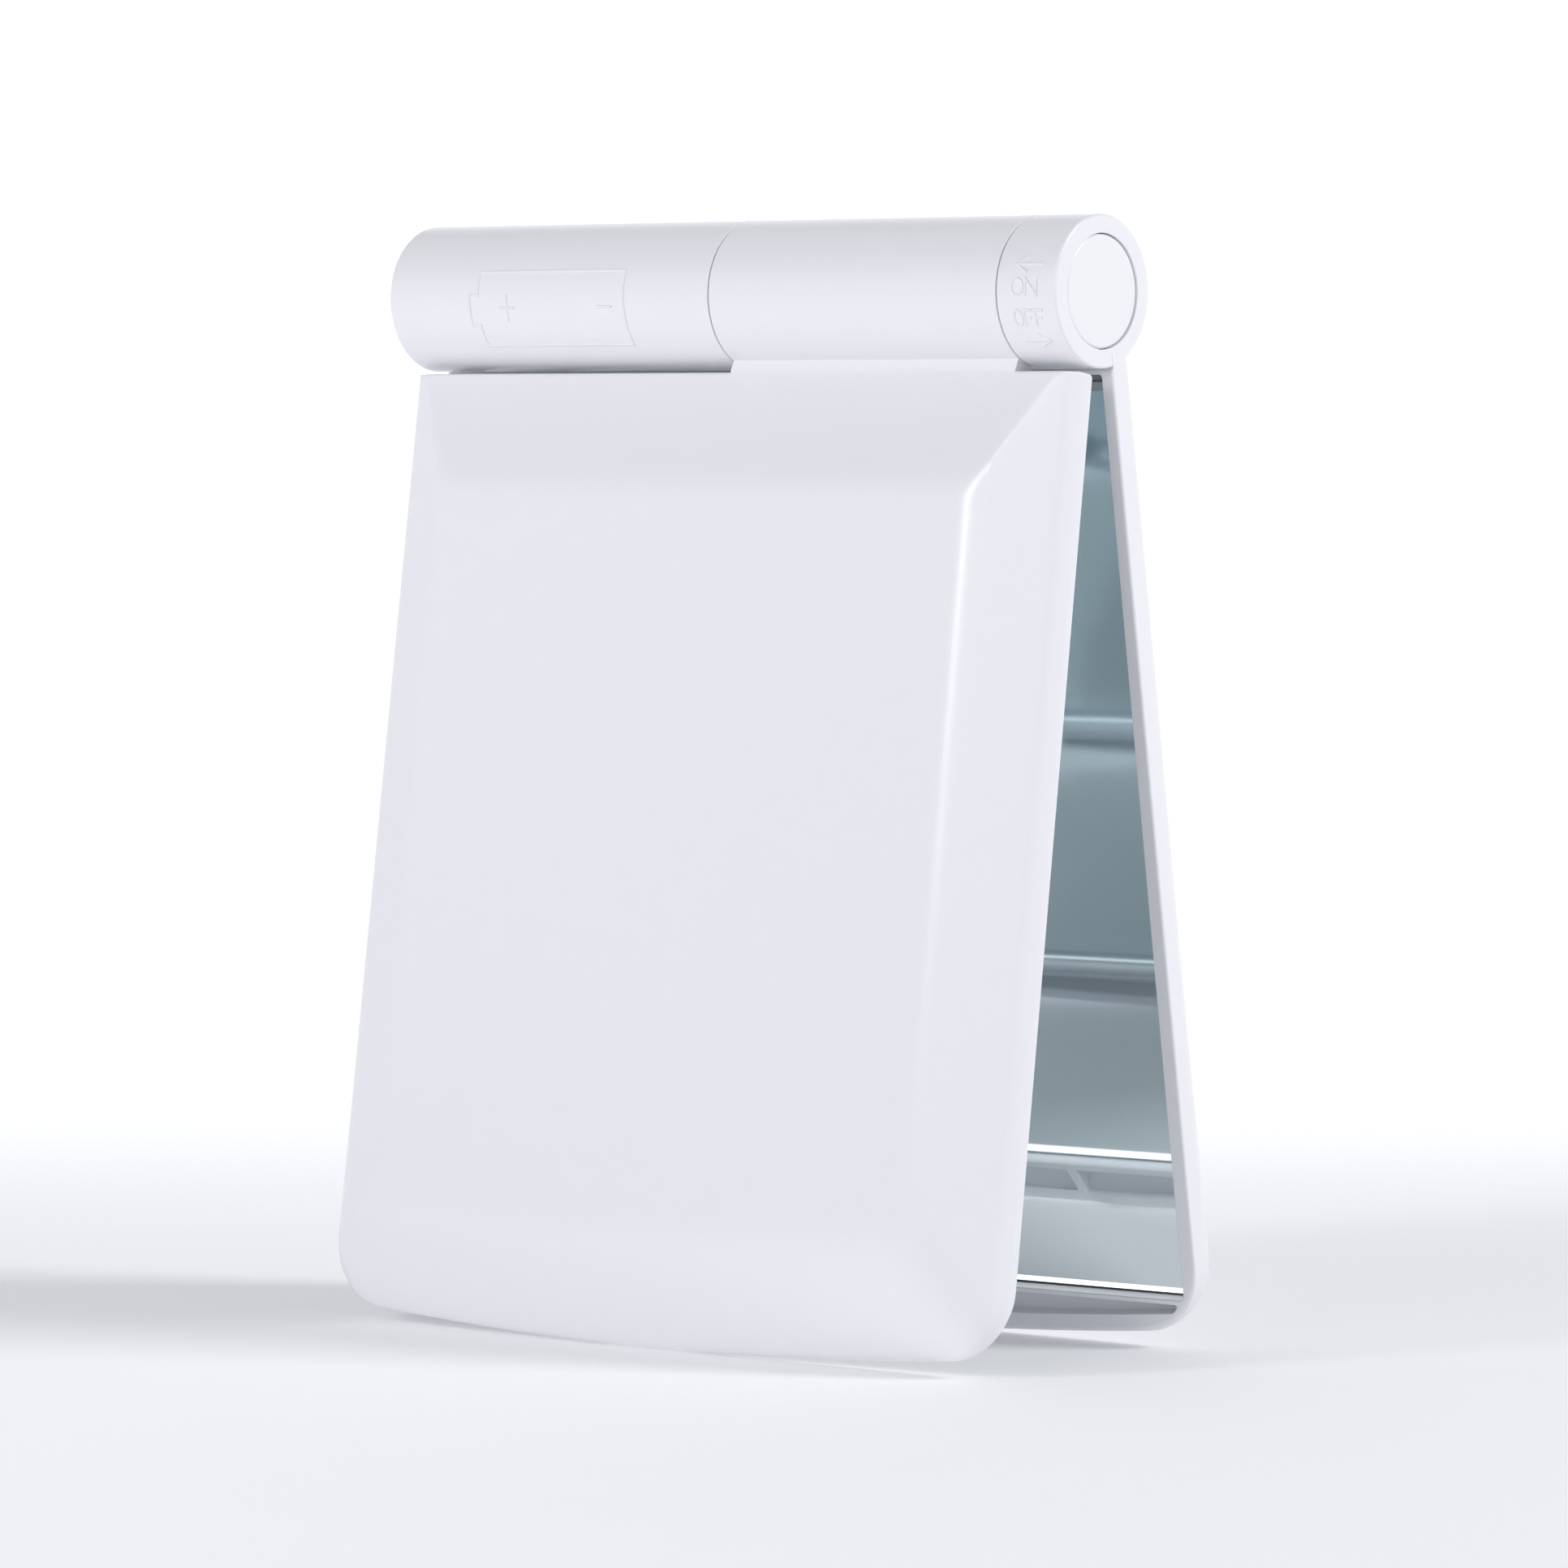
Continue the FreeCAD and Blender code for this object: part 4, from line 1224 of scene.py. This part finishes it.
@dataclass
class PushButton:
    """Round push button in the right end of the barrel."""

    hinge: Hinge
    face: float = 45.93
    dish: float = 0.06
    dish_rings: int = 9
    radius: float = 5.95
    edge: float = 0.35
    inner: float = 42.25
    seat: float = 44.85
    seat_radius: float = 3.1
    stem_radius: float = 1.6
    stem_end: float = 40.45
    stem_tip: float = 1.1
    stem_bevel: float = 0.3
    sides: int = 128

    def build(self) -> bpy.types.Object:
        """Make the button and put it in the frame.

        Returns:
            The new piece.
        """
        skin = Skin()
        rim = self.radius - self.edge
        rings = np.linspace(rim, 0.0, self.dish_rings)
        flat = [(self.face - self.dish * (1.0 - (radius / rim) ** 2), radius) for radius in rings]
        edge = rounded((self.face, self.radius), (-self.edge, -self.edge), arc(90.0, 0.0, ROUND_STEPS))
        lathe(skin, self.hinge, [(self.inner, self.radius), *edge], self.sides)
        lathe(skin, self.hinge, flat, self.sides, Facing.RIGHT)
        self.add_inner_side(skin)
        piece = skin.build("push_button", FINISHES[Slot.WHITE_BUTTON])
        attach(piece, "button")
        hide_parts("switch_button")
        return piece

    def add_inner_side(self, skin: Skin) -> None:
        """Add the back of the head, the seat of the spring, and the stem with its bevelled tip.

        Args:
            skin: where the faces go.
        """
        rim = (self.inner, self.radius)
        mouth = (self.inner, self.seat_radius)
        seat = (self.seat, self.seat_radius)
        root = (self.seat, self.stem_radius)
        shoulder = (self.stem_end + self.stem_bevel, self.stem_radius)
        tip = (self.stem_end, self.stem_tip)
        for profile, facing in (
            ([mouth, rim], Facing.LEFT),
            ([mouth, seat], Facing.IN),
            ([root, seat], Facing.LEFT),
            ([shoulder, root], Facing.OUT),
            ([tip, shoulder], Facing.OUT),
            ([(self.stem_end, 0.0), tip], Facing.LEFT),
        ):
            lathe(skin, self.hinge, profile, self.sides, facing)


@dataclass
class SwitchSpring:
    """Return spring of the push button."""

    hinge: Hinge
    start: float = 40.15
    end: float = 44.85
    radius: float = 2.6
    wire: float = 0.4
    pitch: float = 0.9
    steps: int = 40
    sides: int = 8

    def build(self) -> bpy.types.Object:
        """Make the spring and set it between the switch housing and the button.

        Returns:
            The new piece.
        """
        first = self.start + self.wire / 2
        last = self.end - self.wire / 2
        turns = (last - first) / self.pitch
        count = round(turns * self.steps)
        places = np.linspace(first, last, count)
        turn = np.linspace(0.0, 2.0 * math.pi * turns, count)
        line = self.hinge.on_barrel(np.column_stack([places, np.full(count, self.radius), turn]))
        axis = self.hinge.on_barrel(np.column_stack([places, np.zeros(count), turn]))
        across = (line - axis) / self.radius
        along = unit(np.gradient(line, axis=0))
        ring = arc(0.0, 360.0, self.sides)[:-1, None]
        outward = np.cos(ring) * across[:, None] + np.sin(ring) * np.cross(along, across)[:, None]
        points = line[:, None] + outward * self.wire / 2
        skin = Skin()
        skin.grid(points, outward, closed=True)
        skin.flat(points[0], -along[0])
        skin.flat(points[-1], along[-1])
        piece = skin.build("switch_coil", FINISHES[Slot.SPRING_STEEL])
        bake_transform(piece)
        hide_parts("switch_spring")
        return piece


@dataclass
class BarrelMarks:
    """Fine raised lines on the barrel: a cell outline with its poles, and two arrows with ON and OFF."""

    hinge: Hinge
    radius: float = 8.0
    height: float = 0.12
    sink: float = 0.05
    line: float = 0.34
    step: float = 0.35
    least_lean: float = 0.6
    rounding: tuple[tuple[float, float], ...] = ((-0.62, 0.8), (-0.3, 1.0), (0.3, 1.0), (0.62, 0.8))
    cell: tuple[float, float] = (-33.1, -12.3)
    cell_turn: tuple[float, float] = (-40.0, 20.5)
    pole: float = -34.3
    pole_turn: tuple[float, float] = (-21.7, 2.0)
    sign_level: float = -8.0
    sign_half: float = 1.05
    sign_turn: float = 10.5
    plus: float = -28.95
    minus: float = -15.05
    barb: float = 6.4
    ring_sides: int = 16
    short_bar: float = 0.8

    def build(self) -> list[bpy.types.Object]:
        """Make both groups of marks and put them in the frame.

        Returns:
            The new pieces.
        """
        return [self.group("cell_mark", self.cell_lines()), self.group("switch_marks", self.switch_lines())]

    def cell_lines(self) -> list[Stroke]:
        """Lines of the cell outline and its two poles, as places along the barrel and degrees up.

        Returns:
            Each line with whether it is closed.
        """
        left, right = self.cell
        low, high = self.cell_turn
        pole_low, pole_high = self.pole_turn
        outline = [(left, high), (right, high), (right, low), (left, low)]
        outline += [(left, pole_low), (self.pole, pole_low), (self.pole, pole_high), (left, pole_high)]
        level = self.sign_level
        upright = [(self.plus, level - self.sign_turn), (self.plus, level + self.sign_turn)]
        bars = [
            [(place - self.sign_half, level), (place + self.sign_half, level)]
            for place in (self.plus, self.minus)
        ]
        return [(outline, True)] + [(stroke, False) for stroke in (upright, *bars)]

    def switch_lines(self) -> list[Stroke]:
        """Lines of the two arrows and their words.

        Returns:
            Each line with whether it is closed.
        """
        lines = self.arrow(tail=44.15, tip=40.66, head=42.2, level=20.4)
        lines += self.arrow(tail=40.7, tip=44.1, head=42.6, level=-39.0)
        lines += self.word("ON", left=40.3, low=-3.3, wide=1.45, tall=12.6, space=0.35)
        lines += self.word("OFF", left=40.3, low=-26.2, wide=1.1, tall=12.0, space=0.3)
        return lines

    def arrow(self, tail: float, tip: float, head: float, level: float) -> list[Stroke]:
        """Lines of one arrow along the barrel.

        Args:
            tail: where the arrow starts.
            tip: where it ends.
            head: where its two barbs start.
            level: its height, in degrees up.

        Returns:
            The shaft and the barbs, both open.
        """
        barbs = [(head, level + self.barb), (tip, level), (head, level - self.barb)]
        return [([(tail, level), (tip, level)], False), (barbs, False)]

    def word(
        self, text: str, left: float, low: float, wide: float, tall: float, space: float
    ) -> list[Stroke]:
        """Strokes of a word in plain capitals.

        Args:
            text: the word.
            left: where it starts along the barrel.
            low: foot of the letters, in degrees up.
            wide: width of a letter.
            tall: height of a letter, in degrees.
            space: gap between letters.

        Returns:
            Each stroke with whether it is closed.
        """
        turns = arc(0.0, 360.0, self.ring_sides)[:-1]
        ring = [(0.5 + 0.5 * math.cos(turn), 0.5 + 0.5 * math.sin(turn)) for turn in turns]
        strokes = {
            "O": [(ring, True)],
            "N": [([(0.0, 0.0), (0.0, 1.0), (1.0, 0.0), (1.0, 1.0)], False)],
            "F": [
                ([(0.0, 0.0), (0.0, 1.0), (1.0, 1.0)], False),
                ([(0.0, 0.5), (self.short_bar, 0.5)], False),
            ],
        }
        lines = []
        for number, letter in enumerate(text):
            start = left + number * (wide + space)
            for stroke, closed in strokes[letter]:
                lines.append(([(start + wide * x, low + tall * y) for x, y in stroke], closed))
        return lines

    def group(self, name: str, lines: list[Stroke]) -> bpy.types.Object:
        """Make one piece from several lines.

        Args:
            name: name of the piece.
            lines: each line with whether it is closed.

        Returns:
            The new piece.
        """
        skin = Skin()
        for line, closed in lines:
            self.add_line(skin, np.array(line), closed)
        piece = skin.build(name, FINISHES[Slot.WHITE_SHELL])
        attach(piece, "base")
        return piece

    def add_line(self, skin: Skin, line: np.ndarray, closed: bool) -> None:
        """Raise one line on the barrel.

        Args:
            skin: where the faces go.
            line: places along the barrel and degrees up.
            closed: whether the last place joins the first.
        """
        flat = np.column_stack([line[:, 0], np.radians(line[:, 1]) * self.radius])
        corners = np.concatenate([flat, flat[:1]]) if closed else flat
        spine = [corners[0]]
        for start, end in zip(corners[:-1], corners[1:]):
            count = max(1, math.ceil(np.linalg.norm(end - start) / self.step))
            spine += [start + (end - start) * number / count for number in range(1, count + 1)]
        points = np.array(spine[:-1] if closed else spine)
        ahead = unit(np.roll(points, -1, axis=0) - points)
        behind = np.roll(ahead, 1, axis=0)
        if not closed:
            ahead[-1] = behind[-1]
            behind[0] = ahead[0]
        normal = unit(np.stack([-(ahead + behind)[:, 1], (ahead + behind)[:, 0]], axis=1))
        lean = np.maximum(np.abs(normal[:, 1] * ahead[:, 0] - normal[:, 0] * ahead[:, 1]), self.least_lean)
        half = self.line / 2.0 / lean
        top = [(share, self.height * rise) for share, rise in self.rounding]
        rows = []
        for share, rise in [(-1.0, -self.sink), *top, (1.0, -self.sink)]:
            spot = points + normal * (half * share)[:, None]
            level = np.full(len(spot), self.radius + rise)
            rows.append(np.column_stack([spot[:, 0], level, spot[:, 1] / self.radius]))
        sheet = self.hinge.on_barrel(np.array(rows))
        axis = self.hinge.on_barrel(np.array([0.0, 0.0, 0.0]))
        skin.grid(sheet, (sheet - axis) * np.array([0.0, 1.0, 1.0]), closed=closed)
        if not closed:
            for end, tip in ((0, sheet[:, 0] - sheet[:, 1]), (-1, sheet[:, -1] - sheet[:, -2])):
                skin.flat(sheet[:, end], unit(tip.mean(axis=0)))


def smooth_range(
    tree: bpy.types.NodeTree, span: tuple[float, float], levels: tuple[float, float]
) -> bpy.types.Node:
    """Add a node that leads softly from one level to another.

    Args:
        tree: where the node goes.
        span: values between which the level changes.
        levels: levels before and after.

    Returns:
        The node, with its value still to be linked.
    """
    node = tree.nodes.new("ShaderNodeMapRange")
    node.interpolation_type = "SMOOTHSTEP"
    for end, value, level in zip(("Min", "Max"), span, levels):
        node.inputs[f"From {end}"].default_value = value
        node.inputs[f"To {end}"].default_value = level
    return node


@dataclass(frozen=True)
class SoftLamp:
    """One soft lamp that looks at the object, with lengths in metres and its power in watts."""

    name: str
    place: tuple[float, float, float]
    size: tuple[float, float]
    power: float
    target: tuple[float, float, float] = (0.0, 0.0, 0.06)

    def hang(self) -> None:
        """Put the lamp in the scene, turned to its target."""
        data = bpy.data.lights.new(self.name, "AREA")
        data.shape = "RECTANGLE"
        data.size, data.size_y = self.size
        data.energy = self.power
        lamp = bpy.data.objects.new(self.name, data)
        lamp.location = self.place
        towards = Vector(self.target) - Vector(self.place)
        lamp.rotation_euler = towards.to_track_quat("-Z", "Y").to_euler()
        bpy.context.scene.collection.objects.link(lamp)


LAMPS = (
    SoftLamp("key_right", place=(1.33, 0.5, 1.05), size=(0.5, 0.5), power=14.0),
    SoftLamp("soft_front", place=(-0.1, -1.7, 0.75), size=(1.3, 0.8), power=5.6),
    SoftLamp("ridge_strip", place=(-0.18, -0.54, 0.29), size=(0.1, 0.2), power=0.7),
)


@dataclass
class Studio:
    """Camera at the photograph's angle, pale floor and soft light."""

    hinge: Hinge
    azimuth: float = 39.459
    elevation: float = 2.785
    roll: float = -0.171
    distance: float = 860.6
    focal_pixels: float = 9920.2
    picture: float = 1932.0
    sensor: float = 36.0
    aim: tuple[float, float, float] = (3.251, 0.0, -52.148)
    room_colour: tuple[float, float, float] = (0.94, 0.96, 1.02)
    room_levels: tuple[float, float] = (0.69, 0.31)
    room_rise: tuple[float, float] = (0.0, 0.65)
    backdrop: tuple[float, float, float] = (-0.63, 0.77, 0.0)
    backdrop_levels: tuple[float, float] = (0.0, 0.7)
    backdrop_turn: tuple[float, float] = (0.7, 0.92)
    floor_tone: float = 0.84
    floor_glow: tuple[float, float] = (0.18, 0.9)
    floor_turn: tuple[float, float] = (0.0, 0.6)
    floor_reach: float = 3.0
    floor_roughness: float = 0.9
    clip_start: float = 0.01
    all_bounces: int = 24
    mirror_bounces: int = 16

    def build(self) -> None:
        """Set up the camera, the floor, the lamps and the surroundings."""
        self.camera()
        self.floor()
        for lamp in LAMPS:
            lamp.hang()
        self.surroundings()
        self.bounces()
        bpy.context.scene.view_settings.view_transform = "Standard"

    def bounces(self) -> None:
        """Let light go on bouncing between the two facing mirrors."""
        bpy.context.scene.cycles.max_bounces = self.all_bounces
        bpy.context.scene.cycles.glossy_bounces = self.mirror_bounces

    def camera(self) -> None:
        """Put the camera where the photograph was taken."""
        turn, lift, roll = (math.radians(angle) for angle in (self.azimuth, self.elevation, self.roll))
        back = Vector((math.sin(turn) * math.cos(lift), -math.cos(turn) * math.cos(lift), math.sin(lift)))
        right = (-back).cross(Vector((0.0, 0.0, 1.0))).normalized()
        up = right.cross(-back)
        tilted = math.cos(roll) * right + math.sin(roll) * up
        upright = -math.sin(roll) * right + math.cos(roll) * up
        aim = Vector(self.aim) + Vector((0.0, 0.0, self.hinge.height))
        data = bpy.data.cameras.new("camera")
        data.sensor_width = self.sensor
        data.lens = self.focal_pixels / self.picture * self.sensor
        data.clip_start = self.clip_start
        camera = bpy.data.objects.new("camera", data)
        axes = Matrix((tilted, upright, back)).transposed().to_4x4()
        camera.matrix_world = Matrix.Translation((aim + back * self.distance) * MM) @ axes
        bpy.context.scene.collection.objects.link(camera)
        bpy.context.scene.camera = camera

    def floor(self) -> None:
        """Lay the pale floor, which glows more and more towards the back like a white sweep."""
        reach = self.floor_reach
        corners = [(-reach, -reach, 0.0), (reach, -reach, 0.0), (reach, reach, 0.0), (-reach, reach, 0.0)]
        mesh = bpy.data.meshes.new("floor")
        mesh.from_pydata(corners, [], [(0, 1, 2, 3)])
        colour = (self.floor_tone,) * 3
        material = Finish("pale_floor", colour, self.floor_roughness, drift=0.002, grain=0.0).material()
        mesh.materials.append(material)
        tree = material.node_tree
        place = tree.nodes.new("ShaderNodeTexCoord")
        behind = tree.nodes.new("ShaderNodeVectorMath")
        behind.operation = "DOT_PRODUCT"
        behind.inputs[1].default_value = self.backdrop
        glow = smooth_range(tree, self.floor_turn, self.floor_glow)
        tree.links.new(place.outputs["Object"], behind.inputs[0])
        tree.links.new(behind.outputs["Value"], glow.inputs["Value"])
        shader = tree.nodes["Principled BSDF"]
        shader.inputs["Emission Color"].default_value = (*self.room_colour, 1.0)
        tree.links.new(glow.outputs["Result"], shader.inputs["Emission Strength"])
        floor = bpy.data.objects.new("floor", mesh)
        bpy.context.scene.collection.objects.link(floor)

    def surroundings(self) -> None:
        """Light the object from a white room, brightest round its horizon and at its backdrop."""
        world = bpy.data.worlds.new("white_room")
        world.use_nodes = True
        tree = world.node_tree
        direction = tree.nodes.new("ShaderNodeTexCoord")
        parts = tree.nodes.new("ShaderNodeSeparateXYZ")
        towards = tree.nodes.new("ShaderNodeVectorMath")
        towards.operation = "DOT_PRODUCT"
        towards.inputs[1].default_value = self.backdrop
        room = smooth_range(tree, self.room_rise, self.room_levels)
        screen = smooth_range(tree, self.backdrop_turn, self.backdrop_levels)
        level = tree.nodes.new("ShaderNodeMath")
        tree.links.new(direction.outputs["Generated"], parts.inputs["Vector"])
        tree.links.new(direction.outputs["Generated"], towards.inputs[0])
        tree.links.new(parts.outputs["Z"], room.inputs["Value"])
        tree.links.new(towards.outputs["Value"], screen.inputs["Value"])
        tree.links.new(room.outputs["Result"], level.inputs[0])
        tree.links.new(screen.outputs["Result"], level.inputs[1])
        tree.links.new(level.outputs["Value"], tree.nodes["Background"].inputs["Strength"])
        tree.nodes["Background"].inputs["Color"].default_value = (*self.room_colour, 1.0)
        bpy.context.scene.world = world


def dress_inner_pieces(frame: dict) -> None:
    """Give every piece of the frame the finish of its slot.
    """
    for part in frame["record"]["subparts"]:
        piece = frame["nodes"][part["node"]]
        finish = FINISHES[Slot(part["material_slot"])]
        piece.data.materials.clear()
        piece.data.materials.append(finish.material())
        LOG.info("%s has the finish %s", part["node"], finish.name)


def hinge_of(frame: dict) -> Hinge:
    """Read the hinge from the frame: its axis, and the lean as half of the way to closed.


    Returns:
        The hinge.
    """
    joint = next(item for item in frame["joints"] if item["name"] == "cover_hinge")
    return Hinge(joint["pos_m"][2] / MM, math.radians(-joint["range_deg"][0] / 2.0))


def main() -> None:
    """Build the pieces in order, dress the frame, and set up the studio."""
    logging.basicConfig(level=logging.INFO, format="%(message)s")
    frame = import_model()
    hinge = hinge_of(frame)
    dress_inner_pieces(frame)
    pieces = [
        back_half(hinge).build(),
        front_half(hinge).build(),
        MirrorPlate("back_plate", "back_mirror", "base", Half.BACK, hinge, half_width=44.4, top=9.7).build(),
        MirrorPlate(
            "front_plate", "front_mirror", "cover", Half.FRONT, hinge,
            half_width=40.8, top=12.5, strip=1.05, strip_drop=0.1,
        ).build(),
        PushButton(hinge).build(),
        SwitchSpring(hinge).build(),
        *BarrelMarks(hinge).build(),
    ]
    for piece in pieces:
        LOG.info("%s: %d faces", piece.name, len(piece.data.polygons))
    Studio(hinge).build()


if __name__ == "__main__":
    main()
